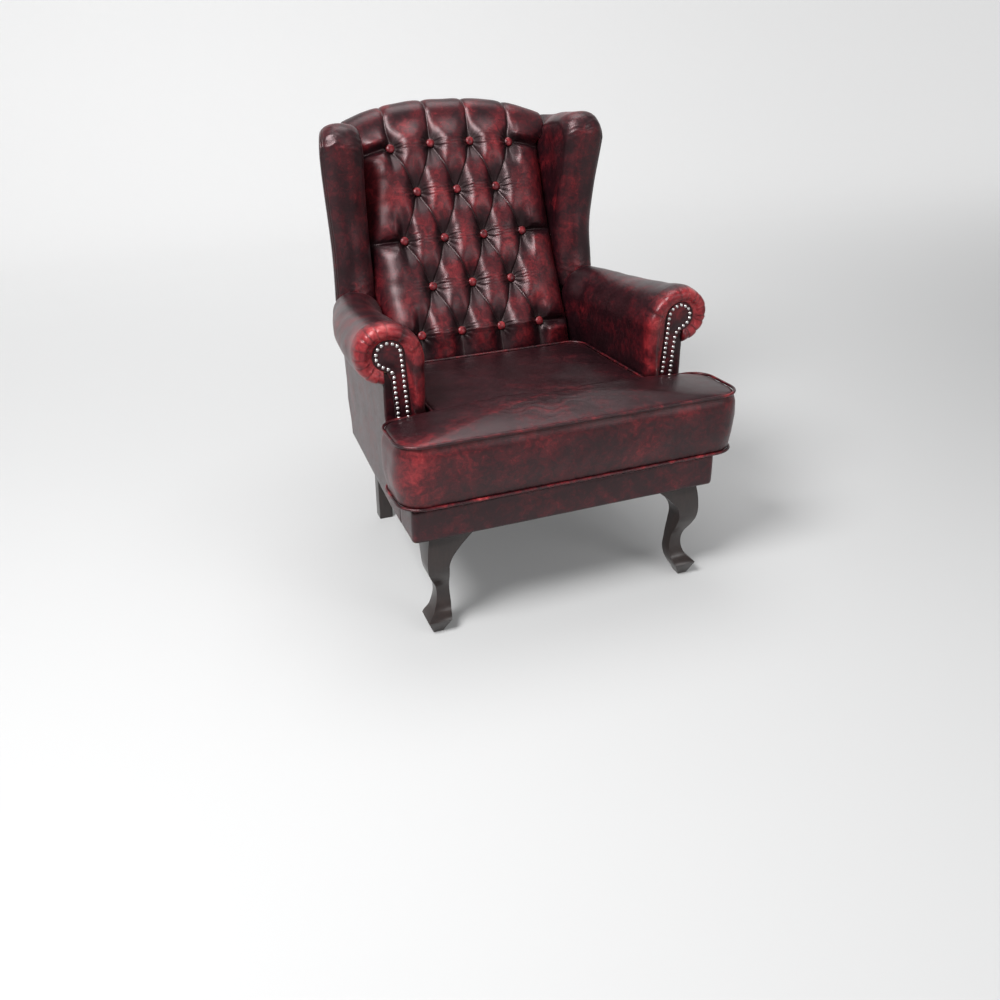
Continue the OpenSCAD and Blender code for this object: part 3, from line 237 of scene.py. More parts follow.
# %% The helper for piping
def piping(name, path, radius, sides=12, closed=True, rub=0.6, seed=5):
    line = np.array(path, dtype=float)
    count = len(line)
    ahead = unit(np.roll(line, -1, axis=0) - np.roll(line, 1, axis=0) if closed else np.gradient(line, axis=0))
    side = np.cross(ahead, [0.0, 0.0, 1.0])
    side[np.linalg.norm(side, axis=1) < 0.2] = [1.0, 0.0, 0.0]
    side = unit(side)
    up = np.cross(side, ahead)

    def place(i, j):
        k = i % count if closed else i
        turn = 2 * math.pi * j / sides
        thick = radius * (1 + 0.05 * np.sin(k * 1.7) * np.sin(k * 0.37))
        points = line[k] + (thick * np.cos(turn))[:, None] * side[k] + (thick * np.sin(turn))[:, None] * up[k]
        worn = rub + 0.12 * waves(points, 60, seed) + 0.10 * waves(points, 14, seed + 1)
        # The fold mark rises to 0.5 on the cord's underside: painted shade under the cord.
        return points, {"rub": worn, "fold": 0.25 - 0.25 * np.sin(turn)}

    return grid_form(name, count if closed else count - 1, sides, place, ends=not closed)


# %% [markdown]
# ## Leather
# A procedural material is a small network of nodes. These helpers add one node each and return its output,
# so a material below reads like a recipe. All of them work in the object's own coordinates, so nothing
# has to be unwrapped.

# %% Helpers for materials
def value_node(nodes, operation, a, b=None, c=None):
    node = nodes.new("ShaderNodeMath")
    node.operation = operation
    for k, item in enumerate((a, b, c)):
        if isinstance(item, (int, float)):
            node.inputs[k].default_value = item
        elif item is not None:
            node.id_data.links.new(item, node.inputs[k])
    return node.outputs[0]


def read_mark(nodes, name):
    node = nodes.new("ShaderNodeAttribute")
    node.attribute_name = name
    return node.outputs["Fac"]


def noise_of(nodes, source, scale, detail=4.0, rough=0.55, distortion=0.0):
    node = nodes.new("ShaderNodeTexNoise")
    for key, value in (("Scale", scale), ("Detail", detail), ("Roughness", rough), ("Distortion", distortion)):
        node.inputs[key].default_value = value
    node.id_data.links.new(source, node.inputs["Vector"])
    return node.outputs["Fac"]


def stretched(nodes, source, scale):
    node = nodes.new("ShaderNodeMapping")
    node.inputs["Scale"].default_value = scale
    node.id_data.links.new(source, node.inputs["Vector"])
    return node.outputs["Vector"]


def ramp_of(nodes, tone, steps):
    """Colours by tone, from steps of (position, colour)."""
    ramp = nodes.new("ShaderNodeValToRGB")
    while len(ramp.color_ramp.elements) < len(steps):
        ramp.color_ramp.elements.new(0.5)
    for element, (at, colour) in zip(ramp.color_ramp.elements, steps):
        element.position = at
        element.color = (*colour, 1)
    nodes.id_data.links.new(tone, ramp.inputs["Fac"])
    return ramp.outputs["Color"]


def bump_of(nodes, height, strength, distance):
    bump = nodes.new("ShaderNodeBump")
    bump.inputs["Strength"].default_value = strength
    bump.inputs["Distance"].default_value = distance
    nodes.id_data.links.new(height, bump.inputs["Height"])
    return bump.outputs["Normal"]


def new_material(name, **fixed):
    """A material, its nodes and links, its shader with some inputs set, and the place on the object."""
    material = bpy.data.materials.new(name)
    material.use_nodes = True
    nodes = material.node_tree.nodes
    shader = nodes["Principled BSDF"]
    for key, value in fixed.items():
        shader.inputs[key.replace("_", " ")].default_value = value
    place = nodes.new("ShaderNodeTexCoord").outputs["Object"]
    return material, nodes, material.node_tree.links, shader, place


# %% [markdown]
# Antique oxblood leather is dyed red and then wiped with near-black, which stays in the folds and is
# rubbed off the high places. The material does the same: a mottled pattern plus the rub mark chooses
# between black and red. The rub mark is mostly wear, but it also carries painted shade round the buttons
# and under the arms' rolls. The fold mark then darkens towards near-black. In the folds this is partly that
# wipe and partly painted shade. Round the buttons, along seams and edges, and under the piping and the
# cushion it is painted shade alone. The surface is a satin finish with a fine grain, made of small cells
# with creases between them.

# %% The leather material
LEATHER_STEPS = [
    (0.00, (0.006, 0.002, 0.003)),
    (0.30, (0.016, 0.003, 0.005)),
    (0.50, (0.058, 0.005, 0.008)),
    (0.66, (0.140, 0.010, 0.014)),
    (0.82, (0.260, 0.020, 0.024)),
    (1.00, (0.380, 0.060, 0.060)),
]
# The first value is the near-black colour of the painted shade that the fold mark mixes in.
FOLD_SHADE_COLOUR, PATTERN_MEAN = (0.006, 0.003, 0.003, 1), 0.795


def leather(name, shift=0.0, gloss=0.30, grain=0.18):
    material, nodes, links, shader, place = new_material(
        name, Specular_Tint=(1.0, 0.74, 0.76, 1), Coat_Weight=0.05, Coat_Roughness=0.3)
    wide_spots = noise_of(nodes, place, 17.0, 3.0, 0.6, 0.4)
    spots = noise_of(nodes, place, 62.0, 5.0, 0.65, 0.9)
    specks = noise_of(nodes, place, 380.0, 2.0, 0.5)
    tone = value_node(nodes, "MULTIPLY_ADD", wide_spots, 0.50, shift - PATTERN_MEAN)
    tone = value_node(nodes, "MULTIPLY_ADD", spots, 0.85, tone)
    tone = value_node(nodes, "MULTIPLY_ADD", specks, 0.24, tone)
    tone = value_node(nodes, "ADD", tone, read_mark(nodes, "rub"))
    # Painted shade: the fold mark mixes the ramp's colour towards the near-black shade colour.
    dark = nodes.new("ShaderNodeMix")
    dark.data_type = "RGBA"
    links.new(value_node(nodes, "MULTIPLY", read_mark(nodes, "fold"), 0.93), dark.inputs["Factor"])
    links.new(ramp_of(nodes, tone, LEATHER_STEPS), dark.inputs["A"])
    dark.inputs["B"].default_value = FOLD_SHADE_COLOUR
    links.new(dark.outputs["Result"], shader.inputs["Base Color"])
    rough = value_node(nodes, "MULTIPLY_ADD", spots, 0.22, gloss - 0.11)
    links.new(value_node(nodes, "MULTIPLY_ADD", specks, 0.10, rough), shader.inputs["Roughness"])
    cells = nodes.new("ShaderNodeTexVoronoi")
    cells.inputs["Scale"].default_value = 620.0
    links.new(place, cells.inputs["Vector"])
    creases = noise_of(nodes, place, 150.0, 4.0, 0.6, 1.2)
    height = value_node(nodes, "MULTIPLY_ADD", creases, 0.9, cells.outputs["Distance"])
    links.new(bump_of(nodes, height, grain, 0.0012), shader.inputs["Normal"])
    return material


rubbed_leather = leather("rubbed oxblood leather")
side_leather = leather("smooth oxblood leather", shift=-0.03, grain=0.12)
button_leather = leather("button leather", gloss=0.28)
print("leathers:", rubbed_leather.name, "and", side_leather.name, "and", button_leather.name)

# %% [markdown]
# Every piece is finished in the same way: it gets its material and the moving body that it rides on,
# and the solid part that it stands for is hidden.

# %% Finishing and joining pieces
def finish(piece, material, nodes_replaced=(), body="chair"):
    piece.data.materials.clear()
    piece.data.materials.append(material)
    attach(piece, body)
    if nodes_replaced:
        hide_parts(*nodes_replaced)
    return piece


def joined(pieces, name):
    select_only(*pieces)
    bpy.ops.object.join()
    piece = bpy.context.object
    piece.name = piece.data.name = name
    print(name, "is joined from", len(pieces), "pieces")
    return piece


def padded_form(name, across, around, place, material, node, mirror=False):
    """A padded piece from grid_form, finished with its material in place of its solid part."""
    piece = grid_form(name, across, around, place, mirror=mirror)
    finish(piece, material, [node])


# %% [markdown]
# ## The buttoned back
# Deep buttoning starts with a grid of points in a thick pad. The leather is cut larger than the pad, tied
# down at each point, and the extra is tucked into folds that run from button to button, so each diamond
# swells out. The height of the swelling is a formula of two numbers, u across and v up, counted in
# buttons. It has a sharp valley on each fold, and its lower edges bulge a little over the pillow below,
# as the real tucks do.

# %% The heights of the buttoned pad
PAD_HALF = 254.0
PITCH_X = PAD_HALF * 0.4358
LAST_X = 1.5 * PITCH_X
BUTTON_LOW, BUTTON_TOP = 227.6, 78.0
PITCH_S = (CREST_S - BUTTON_TOP - BUTTON_LOW) / 4
PILLOW_H, CREST_FALL, CREST_FLARE = 33.0, 37.0, 21.0
FLARE_S = CREST_S - 66 + 5
VALLEY_N, FOLD_TO_FOLD = 82.0, 101.0


def crest_drop(x):
    """How far the crest has fallen at x, where the back's top rounds down to the wings."""
    return CREST_FALL / COS_R * (np.abs(x) / PAD_HALF) ** 2.6


def sag(x, s):
    start = BUTTON_LOW + 3 * PITCH_S
    return crest_drop(x) * ease((s - start) / (CREST_S - start))


def flared(x, s):
    return x * (1 + CREST_FLARE / PAD_HALF * ease((s - FLARE_S) / 42.0) * (np.abs(x) / PAD_HALF) ** 2)


def valley(row):
    """How far in front of the back's outside the leather is tied down, by the row of buttons."""
    return VALLEY_N + 34.7 * ((4 - row) / 4) ** 3


def swell(p):
    """Section across one pillow from its lower fold at 0 to its upper fold at 1, steeper below."""
    return np.abs(np.sin(math.pi * clamp(p) ** 0.86)) ** 0.50


def fraction(value):
    return clamp(value - np.floor(value + 1e-7))


def pillow(u, v):
    """Height from 0 to 1, how near the nearest fold is in mm, and how far above its lower folds."""
    p, q = fraction(v / 2 + u - 0.5), fraction(v / 2 - u + 0.5)
    saddle = 1 - (np.cos(math.pi * p) * np.cos(math.pi * q)) ** 2
    height = 0.60 * saddle + 0.40 * swell(p) * swell(q)
    near = np.minimum(np.minimum(p, 1 - p), np.minimum(q, 1 - q)) * FOLD_TO_FOLD
    over = sum(a / 0.05 * np.exp(1 - a / 0.05) * ease(b / 0.3) * ease((1 - b) / 0.3) for a, b in ((p, q), (q, p)))
    return height, near, over


button_places = [((k - (3 - row % 2) / 2), row) for row in range(5) for k in range(4 - row % 2)]
print(len(button_places), "buttons,", round(PITCH_X, 1), "mm apart across and", round(PITCH_S, 1), "mm up the rake")

# %% [markdown]
# The section of the pad goes up the front, over the crest and down behind it, and comes back inside along
# the webbing. It has five kinds of row: 0 is the plain foot, 1 the buttoned part, 2 the head above the
# top buttons, 3 the roll over the crest, and 4 the inside. Columns are closest where the buttons are.

# %% The rows and columns of the pad
PER_PITCH, SIDE_COLUMNS = 48, 26
INNER_COLUMNS = 3 * PER_PITCH
FOOT, BUTTONED, HEAD, ROLL, INSIDE = range(5)
PAD_START = 33.0
column_x = np.concatenate([
    -mix(LAST_X, PAD_HALF, np.linspace(1, 0, SIDE_COLUMNS, endpoint=False)),
    np.linspace(-1.5, 1.5, INNER_COLUMNS + 1) * PITCH_X,
    mix(LAST_X, PAD_HALF, np.linspace(0, 1, SIDE_COLUMNS + 1)[1:]),
])
foot_s = np.linspace(PAD_START, BUTTON_LOW, 56, endpoint=False)
main_s = np.linspace(BUTTON_LOW, BUTTON_LOW + 4 * PITCH_S, 4 * PER_PITCH, endpoint=False)
head_s = np.linspace(CREST_S - BUTTON_TOP, CREST_S, 26, endpoint=False)
roll_a = np.linspace(0, 180, 62)
back_top = CREST_S + CREST_R - 38 + 8
lining_ns = np.array([[0.5, CREST_S + 6], [1.3, back_top - 2], [30, back_top], [38.5, back_top - 6]]
                     + [[38.5, s] for s in np.linspace(CREST_S - 20, PAD_START, 9)])
row_s = np.concatenate([foot_s, main_s, head_s, np.full(len(roll_a), CREST_S), lining_ns[:, 1]])
row_kind = np.repeat(range(5), [len(rows) for rows in (foot_s, main_s, head_s, roll_a, lining_ns)])
row_turn = np.concatenate([np.zeros(len(foot_s) + len(main_s) + len(head_s)), roll_a, lining_ns[:, 0]])
foot_stops = [PAD_START, 101.5, 148.7, 190, BUTTON_LOW]
foot_n = through([[62.8], [93.9], [110.5], [115], [116.7], [116.0]], np.interp(row_s, foot_stops, range(5)))[:, 0]
foot_share = np.interp(row_s, foot_stops, [0.15, 0.15, 0.3, 0.65, 1])
head_way = ease((row_s - CREST_S + BUTTON_TOP) / BUTTON_TOP)
print(len(column_x), "columns and", len(row_s), "rows")

# %% [markdown]
# Between the outer buttons and the pad's sides the folds run straight out, and above the top row they run
# straight up to the crest, so the pillows there have other shapes. Near each button the leather also
# puckers in short spokes, and shallow gathers run sideways from it, because the thread pulls it in.

# %% Folds at the edges, and puckers
def pad_heights(x, s, kind, j):
    """The pillows' u, v and heights with those at the edges, the nearest fold in mm, overhang, and edge share."""
    u = clamp(x / PITCH_X, -1.5, 1.5)
    v = np.where(kind >= HEAD, 0.0, clamp((s - BUTTON_LOW) / PITCH_S - 4, -4, 0))
    high, near, over = pillow(u, v)
    edge = clamp((np.abs(x) - LAST_X) / (PAD_HALF - LAST_X))
    near = near + 60 * edge ** 3
    row_gap = np.where(kind == FOOT, BUTTON_LOW - s, np.where(kind == HEAD, s - CREST_S + BUTTON_TOP, 60.0))
    beside = (edge > 0) & (kind != BUTTONED)
    high = np.where(beside, ease(edge / 0.28) * ease(row_gap / 30), high)
    to_row = np.abs(fraction(v / 2 + 0.5) - 0.5) * 2 * PITCH_S
    flank = (edge > 0) & (kind == BUTTONED)
    high = np.where(flank, mix(high, np.maximum(high, 1 - np.exp(-to_row / 13)), ease(edge / 0.3)), high)
    near = np.where(beside, np.minimum(edge * 88, np.where(kind == ROLL, 60.0, row_gap)), near)
    smooth_top = 1 - np.exp(-near / 6.0)
    high = np.where(kind == HEAD, mix(high, smooth_top, head_way[j]), np.where(kind == ROLL, smooth_top, high))
    return u, v, high, near, over, edge


def pad_spokes(x, s):
    """Puckers and gathers round the buttons, about -1 to 1, and a painted shadow round the nearest button, 0 to 1."""
    spoke, button_shadow = np.zeros(len(x)), np.zeros(len(x))
    for k, (bu, row) in enumerate(button_places):
        dx, ds = x - bu * PITCH_X, s - BUTTON_LOW - row * PITCH_S
        away, angle = np.hypot(dx, ds), np.arctan2(ds, dx)
        fade = np.exp(-(np.maximum(away - 13, 0) / 19) ** 1.5) * ease((away - 6) / 6)
        lines = np.sin((10 + k % 3) * angle + 0.8 * np.sin(2 * angle + k) + k)
        along = np.exp(-(ds / 15) ** 2) * ease((np.abs(dx) - 12) / 10) * np.exp(-(dx / 46) ** 2)
        spoke += fade * (0.7 + 0.5 * np.cos(angle) ** 2) * lines
        spoke += 1.3 * along * np.cos(2 * math.pi * ds / 8.0 + np.sin(dx / 11 + k))
        button_shadow = np.maximum(button_shadow, np.exp(-(away / 25.0) ** 2))
    return spoke, button_shadow


# %% [markdown]
# The leather is rubbed most on top of the pillows and along the crest. In the folds it is darkened,
# partly as the dark wipe and partly as painted shade, and close to the buttons a painted shadow darkens it.
# Each pillow also gets a slightly different tone. Every second row of the grid is
# moved half a step, so the slanting folds run exactly through the grid's points and stay crisp.

# %% How rubbed and how folded the pad is
def pad_marks(points, flat, u, v, high, near, spoke, button_shadow, s, kind, turn, j):
    # Darkening in the folds between the pillows: partly the dark wipe that stays there and partly painted shade.
    crease = np.exp(-(near / 2.3) ** 1.3) * np.where(kind == ROLL, 0.85 * (1 - turn / 260), 1.0)
    crease = np.where(kind == FOOT, crease * ease((s - 60) / 100), crease)
    lifted = ease((high - 0.25) / 0.75) * np.where(kind == FOOT, 0.5 + 0.5 * foot_share[j], 1.0)
    diamond = put(np.floor(v / 2 + u - 0.5 + 1e-6) * 31.0, np.floor(v / 2 - u + 0.5 + 1e-6) * 17.0, 0)
    worn = 0.20 + 0.34 * lifted + 0.07 * waves(flat, 90, 22)
    worn = worn + 0.06 * waves(diamond, 23, 21) * (kind == BUTTONED) * ease(near / 10)
    # Painted shadow round each button lowers the rub mark and feeds the fold mark.
    worn = worn - 0.26 * button_shadow + 0.06 * clamp(spoke, -1, 1)
    crest_worn = 0.40 + 0.12 * waves(points, 70, 23)
    worn = np.where(kind >= ROLL, crest_worn, np.where(kind == HEAD, mix(worn, crest_worn, head_way[j]), worn))
    return {"rub": worn, "fold": np.maximum(crease, 0.82 * button_shadow) * (kind < INSIDE)}


def pad_place(i, j):
    x, s, kind, turn = column_x[i], row_s[j], row_kind[j], row_turn[j]
    odd = (kind == BUTTONED) & ((j - len(foot_s)) % 2 == 1)
    inside = (i > SIDE_COLUMNS) & (i < SIDE_COLUMNS + INNER_COLUMNS)
    x = x + np.where(odd & inside, 0.5 * PITCH_X * 3 / INNER_COLUMNS, 0.0)
    u, v, high, near, over, edge = pad_heights(x, s, kind, j)
    front = kind < ROLL
    share = np.where(kind == FOOT, foot_share[j], 1.0)
    n = np.where(kind == BUTTONED, valley(v + 4), np.where(kind == HEAD, VALLEY_N, foot_n[j]))
    n = n + PILLOW_H * share * high * (1 - edge ** 3) - 12 * edge ** 4
    flat = put(x, s, 0)
    n = n + (1.4 * waves(flat, 120, 3) + 0.55 * waves(flat, 34, 4)) * high * front
    roll_n = CREST_N + CREST_R - 8 * (1 - high) * (1 - edge)
    n = np.where(kind == HEAD, mix(n, roll_n, head_way[j]), n)
    spoke, button_shadow = (values * front for values in pad_spokes(x, s))
    n = n + 1.45 * spoke * (1 - np.where(kind == HEAD, head_way[j], 0))
    w = flared(x, s)
    over_pillow = 2.0 * over * share * front * (1 - edge)
    skin = back_point(w, n, s - over_pillow - sag(w, s))
    curl = np.radians(turn)
    depth = CREST_R - 8 * (1 - high) * (1 - turn / 200) * (1 - edge)
    over_top = back_point(w, CREST_N + depth * np.cos(curl), CREST_S - crest_drop(w) + depth * np.sin(curl))
    over_top += (0.9 * waves(over_top, 60, 8) * np.sin(curl))[:, None] * np.array([0.0, 0.3, 0.6])
    inner = back_point(w, turn, s - np.where(s > CREST_S - 1, crest_drop(w), sag(w, s)))
    points = np.where((kind == ROLL)[:, None], over_top, np.where((kind == INSIDE)[:, None], inner, skin))
    return points, pad_marks(points, flat, u, v, high, near, spoke, button_shadow, s, kind, turn, j)


padded_form("buttoned_back", len(column_x) - 1, len(row_s), pad_place, rubbed_leather, "tufted_back")

# %% [markdown]
# ## Covered buttons
# Each button is a metal shell with a round of leather pulled over it. One is modelled as a flattened ball
# with a few soft tucks at its rim, then copied into all eighteen dimples, each with a small turn of its own.

# %% The buttons
BUTTON_SEAT, BUTTON_R, BUTTON_RISE = PILLOW_H * 0.12 + 0.3, 11.9, 7.6


def button_form(centre, turn, rings=14, spokes=36):
    def place(i, j):
        rise = i / rings
        angle = 2 * math.pi * j / spokes + turn
        radius = np.where(i == rings, BUTTON_R - 0.4, BUTTON_R * np.sin(rise * math.pi / 2) ** 0.9)
        tuck = 0.28 * np.sin(9 * angle) * ease((rise - 0.5) / 0.5)
        out = np.where(i == rings, -0.6, BUTTON_RISE * np.cos(rise * math.pi / 2) ** 0.8 - tuck)
        points = back_point(centre[0] + radius * np.cos(angle), centre[1] + out, centre[2] + radius * np.sin(angle))
        # Towards the rim the rub mark falls and the fold mark rises: painted shade where the button sinks into its
        # dimple.
        return points, {"rub": 0.64 + 0.10 * waves(points, 18, 31) - 0.25 * ease((rise - 0.6) / 0.4),
                        "fold": 0.5 * ease((rise - 0.75) / 0.25)}

    return grid_form("button", rings, spokes, place, ends=False)


buttons = []
for k, (bu, row) in enumerate(button_places):
    bx, bs = bu * PITCH_X, BUTTON_LOW + row * PITCH_S
    buttons.append(button_form((bx, valley(row) + BUTTON_SEAT, bs - float(sag(bx, bs))), 0.7 * k))
finish(joined(buttons, "covered_buttons"), button_leather, ["back_buttons"])

# %% [markdown]
# ## Scroll arms
# The arm is a roll over a wooden rail, with the leather drawn from under the roll outside, over the top
# and down the inside. At the front the leather turns round a padded nose and is gathered into pleats
# round the inset facing, which hides its edge. The section is worked out from the roll's circle and a
# wide arc that eases it into the upright inner face.

# %% The section of an arm at one place
POST_BACK, ARM_LOW, ARC_DROP = 209.3, 332.0, 25.0


def side_plane(y):
    """The outside of the chair's side at y; the chair is a little narrower at the back."""
    return SIDE_HALF - SIDE_TAPER * clamp((y - POST_Y) / (BASE_D - POST_Y))


def arm_section(y, inset):
    """The roll's centre and radius, the inner face, the wide arc between them, and where these lines meet."""
    t = clamp((y - POST_BACK) / (ARM_END - POST_BACK))
    r = mix(69.0, 50.0, t)
    cx = mix(366.0, 330.0, t ** 3)
    cz = mix(ROLL_Z, ARM_BACK_Z, 1 - (1 - t) ** 2)
    inside = mix(275.0, 255.0, ease((y - (ARM_END - 92)) / 92))
    a = cx - inside
    wide = (a * a + ARC_DROP ** 2 - r * r) / (2 * (a - r))
    join = np.arctan2(ARC_DROP, a - wide)
    lip = -np.arccos(clamp((side_plane(y) + 0.3 - cx) / (r - inset), -1, 1))
    return cx, cz, r, inside, wide, join, lip


print("the roll's radius halfway along the arm is", round(float(arm_section((POST_BACK + ARM_END) / 2, 0.0)[2]), 1))

# %% [markdown]
# The arm is a closed sleeve: its outer line is the leather, and its inner line lies against the wood. At
# the front the inner line follows the facing's board and the front post, and further back the rail.

# %% The lines of an arm's section
ROLL_STEPS, WIDE_STEPS, DROP_STEPS, BACK_STEPS = 96, 34, 30, 30
OUTER_STEPS = ROLL_STEPS + WIDE_STEPS + DROP_STEPS


def arm_outer(y, inset, j):
    """The outer line's point j (0 under the roll, then over it and down inside), drawn in by inset."""
    cx, cz, r, inside, wide, join, lip = arm_section(y, inset)
    a = mix(lip, join, clamp(j / ROLL_STEPS))
    roll = put(cx + (r - inset) * np.cos(a), cz + (r - inset) * np.sin(a))
    b = mix(join, math.pi, clamp((j - ROLL_STEPS) / WIDE_STEPS))
    arc = put(inside + wide + (wide - inset) * np.cos(b), cz - ARC_DROP + (wide - inset) * np.sin(b))
    foot = np.maximum(ARM_LOW, back_z(y + 1))
    down = clamp((j - ROLL_STEPS - WIDE_STEPS) / DROP_STEPS)
    drop = put(inside + inset, mix(cz - ARC_DROP, foot, down))
    use_arc, use_drop = (j > ROLL_STEPS)[:, None], (j > ROLL_STEPS + WIDE_STEPS)[:, None]
    return np.where(use_drop, drop, np.where(use_arc, arc, roll))


LEAN = 19 / 284
FACE_C, FACE_R, FILLET_R, FILLET_OUT = (359.0, ROLL_Z - 1.0), 35.0, 22.0, 19.0
FILLET_C = (FACE_C[0] + FILLET_OUT, FACE_C[1] - math.sqrt((FACE_R + FILLET_R) ** 2 - FILLET_OUT ** 2))
FACE_TURN = math.atan2(FILLET_C[1] - FACE_C[1], FILLET_C[0] - FACE_C[0])


def ring_back(cx, cz, r, start, back):
    """A ring's line from its foot (back = 0) up the inner side, over and round to its start angle (1)."""
    z = mix(ARM_LOW, cz, clamp(back / 0.15))
    straight = put(cx - r - LEAN * (cz - z), z)
    a = mix(math.pi, start, clamp((back - 0.15) / 0.85))
    arc = put(cx + r * np.cos(a), cz + r * np.sin(a))
    return np.where((back > 0.15)[:, None], arc, straight)


def core_back(y, back):
    """The same line further back, round the arm's rail."""
    t = clamp((y - POST_BACK) / (ARM_END - POST_BACK))
    cx, cz = mix(360.0, 325.0, t), mix(ROLL_Z - 15, ARM_BACK_Z - 5, t)
    inside = arm_section(y, 0)[3] + 42
    foot = np.maximum(ARM_LOW, back_z(y + 1))
    straight = put(inside, mix(foot, cz - 24, clamp(back / 0.15)))
    a = mix(math.pi, math.radians(-60), clamp((back - 0.15) / 0.85))
    arc = put(cx + 24 * np.cos(a), cz + 24 * np.sin(a))
    return np.where((back > 0.15)[:, None], arc, straight)


print("facing turns under at", round(math.degrees(FACE_TURN), 1), "degrees")

# %% [markdown]
# Along the arm the sections stand at stations. They start at the facing's edge, go round the padded nose,
# run back along the roll and round off at the end. Each station says how far it is drawn in, and how far
# it still follows the facing's outline.

# %% The arms' stations
END_CURVE = np.radians([12, 25, 38, 50, 62, 74, 84, 90])
nose_line = through(
    [[1.0, 33.0, 179.3], [1.0, 29.0, 176.6], [0.35, 25.0, 173.4], [0, 19.0, 171.0], [0, 12.0, 171.7],
     [0, 6.4, 175.2], [0, 2.4, 182.0], [0, 0.7, 190.5], [0, 0, 200.0]], np.linspace(0, 1, 34) * 8)
body_y = np.concatenate([[203.5, 207.0, 209.0, 210.4], np.linspace(214, ARM_END - 14, 112),
                         ARM_END - 14 + 14 * np.sin(END_CURVE)])
arm_y = np.concatenate([nose_line[:, 2], body_y])
arm_inset = np.concatenate([nose_line[:, 1], np.zeros(len(body_y))])
arm_inset[-8:] = 8 * (1 - np.cos(END_CURVE))
arm_blend = np.concatenate([clamp(nose_line[:, 0]), np.zeros(len(body_y))])
inner_y = np.concatenate([np.linspace(180.3, 183.7, 28), np.full(6, 183.7), body_y])
inner_y[34:37] = [203.5, 207.0, 209.35]
inner_y[37] = 209.4
inner_kind = np.concatenate([np.zeros(28), np.ones(9), np.full(len(arm_y) - 37, 2)])
print(len(arm_y), "stations from", round(arm_y.min(), 1), "to", round(arm_y.max(), 1))

# %% [markdown]
# The pleats round the front are folds that lie over each other, so each groove has one steep side. They
# start at the facing, fan out over the nose and fade along the roll. Across the top of the roll the
# leather also has faint creases, where it has been pressed down by arms.

# %% The pleats
pleat_places = [0.05, 0.13, 0.205, 0.27, 0.345, 0.41, 0.465, 0.53, 0.60, 0.665, 0.74, 0.82, 0.90]
print(len(pleat_places), "pleats round each arm front")


def pleats(share, seed):
    """Depth of the gathered pleats, 0 to 1, by how far round the outer line a point is."""
    pick = np.random.RandomState(seed)
    total, folds = np.zeros(len(share)), np.zeros(len(share))
    for k, at in enumerate(pleat_places):
        d = (share - at - pick.uniform(-0.012, 0.012)) * 420.0
        strong = pick.uniform(0.55, 1.0)
        turned = 1 if k % 4 else -1
        steep, slow = np.exp(-np.abs(d) / 1.5), np.exp(-np.abs(d) / 8.5)
        total += strong * np.where(d * turned > 0, slow, steep)
        folds = np.maximum(folds, strong * np.exp(-(d / 2.1) ** 2))
    return total, folds


# %% [markdown]
# The skin is the outer line, pushed in by pleats and out by softness. Its front edge is blended into the
# facing's outline, so the facing closes it without a gap.

# %% The arms
def arm_place(seed):
    def place(i, j):
        y, inset, blend = arm_y[i], arm_inset[i], arm_blend[i]
        outside = j <= OUTER_STEPS
        share = clamp(j / OUTER_STEPS)
        depth, folds = pleats(share, seed)
        reach = ease((i - 1) / 5) * np.exp(-(np.maximum(y - 176, 0) / 22.0) ** 1.2) * (i >= 1)
        reach = np.where(y < 176, ease((i - 1) / 5), reach) * ease((0.985 - share) / 0.05)
        base = arm_outer(np.maximum(POST_Y, y), inset, j.astype(float))
        spot = put(base[:, 0], y, base[:, 1])
        low = ease((base[:, 1] - 470) / 60)
        soft = 0.9 * waves(spot, 95, seed + 3) * low - 0.9 * (1 - low)
        top_share = np.exp(-((share - 0.36) / 0.2) ** 2)
        crease = (0.30 * np.sin(2 * math.pi * y / 8.3 + 2.5 * waves(spot, 120, seed + 5))
                  * clamp(0.5 + waves(spot, 60, seed + 6)) * top_share * ease((y - 200) / 30))
        fade = ease(i / 8) * ease((len(arm_y) - 1 - i) / 6)
        moved = arm_outer(np.maximum(POST_Y, y),
                          np.maximum(inset + 4.2 * reach * depth - (soft + crease) * fade, -2.0), j.astype(float))
        back = clamp((j - OUTER_STEPS - 1) / BACK_STEPS)
        facing = ring_back(*FACE_C, FACE_R + 0.5, FACE_TURN, 1 - np.where(outside, share, 0))
        front = mix(moved, facing, (blend * ease((6 - i) / 6))[:, None])
        start_post = -math.acos((367.0 - 360.0) / 40.0)
        inner = np.where((inner_kind[i] == 0)[:, None], ring_back(*FACE_C, FACE_R + 0.3, FACE_TURN, back),
                         np.where((inner_kind[i] == 1)[:, None],
                                  ring_back(360.0, ROLL_Z - 3, 40.3, start_post, back),
                                  core_back(inner_y[i], back)))
        flat = np.where(outside[:, None], front, inner)
        points = put(flat[:, 0], np.where(outside, y, inner_y[i]), flat[:, 1])
        points[:, 1] -= np.where(outside, 0.5 * waves(spot, 30, seed + 8) * ease((190 - y) / 10) * ease(i / 6), 0)
        worn = 0.33 + 0.38 * np.exp(-(np.maximum(y - 176, 0) / 26.0) ** 2) + 0.12 * top_share
        # The rub mark falls towards the back; painted shade lowers it below the roll, and in the pleat grooves it
        # falls partly as dark wipe and partly as painted shade.
        worn += 0.10 * waves(spot, 70, seed + 9) - 0.10 * ease((y - 420) / 200) - 0.16 * (1 - low)
        worn -= 0.08 * clamp(reach * depth)
        # The fold mark darkens the pleat grooves, partly as dark wipe and partly as painted shade, and paints shade
        # on the first rows, where the skin meets the facing.
        fold = np.maximum(0.9 * reach * folds, ease((2.5 - i) / 2.5))
        return points, {"rub": worn, "fold": fold * outside}

    return place


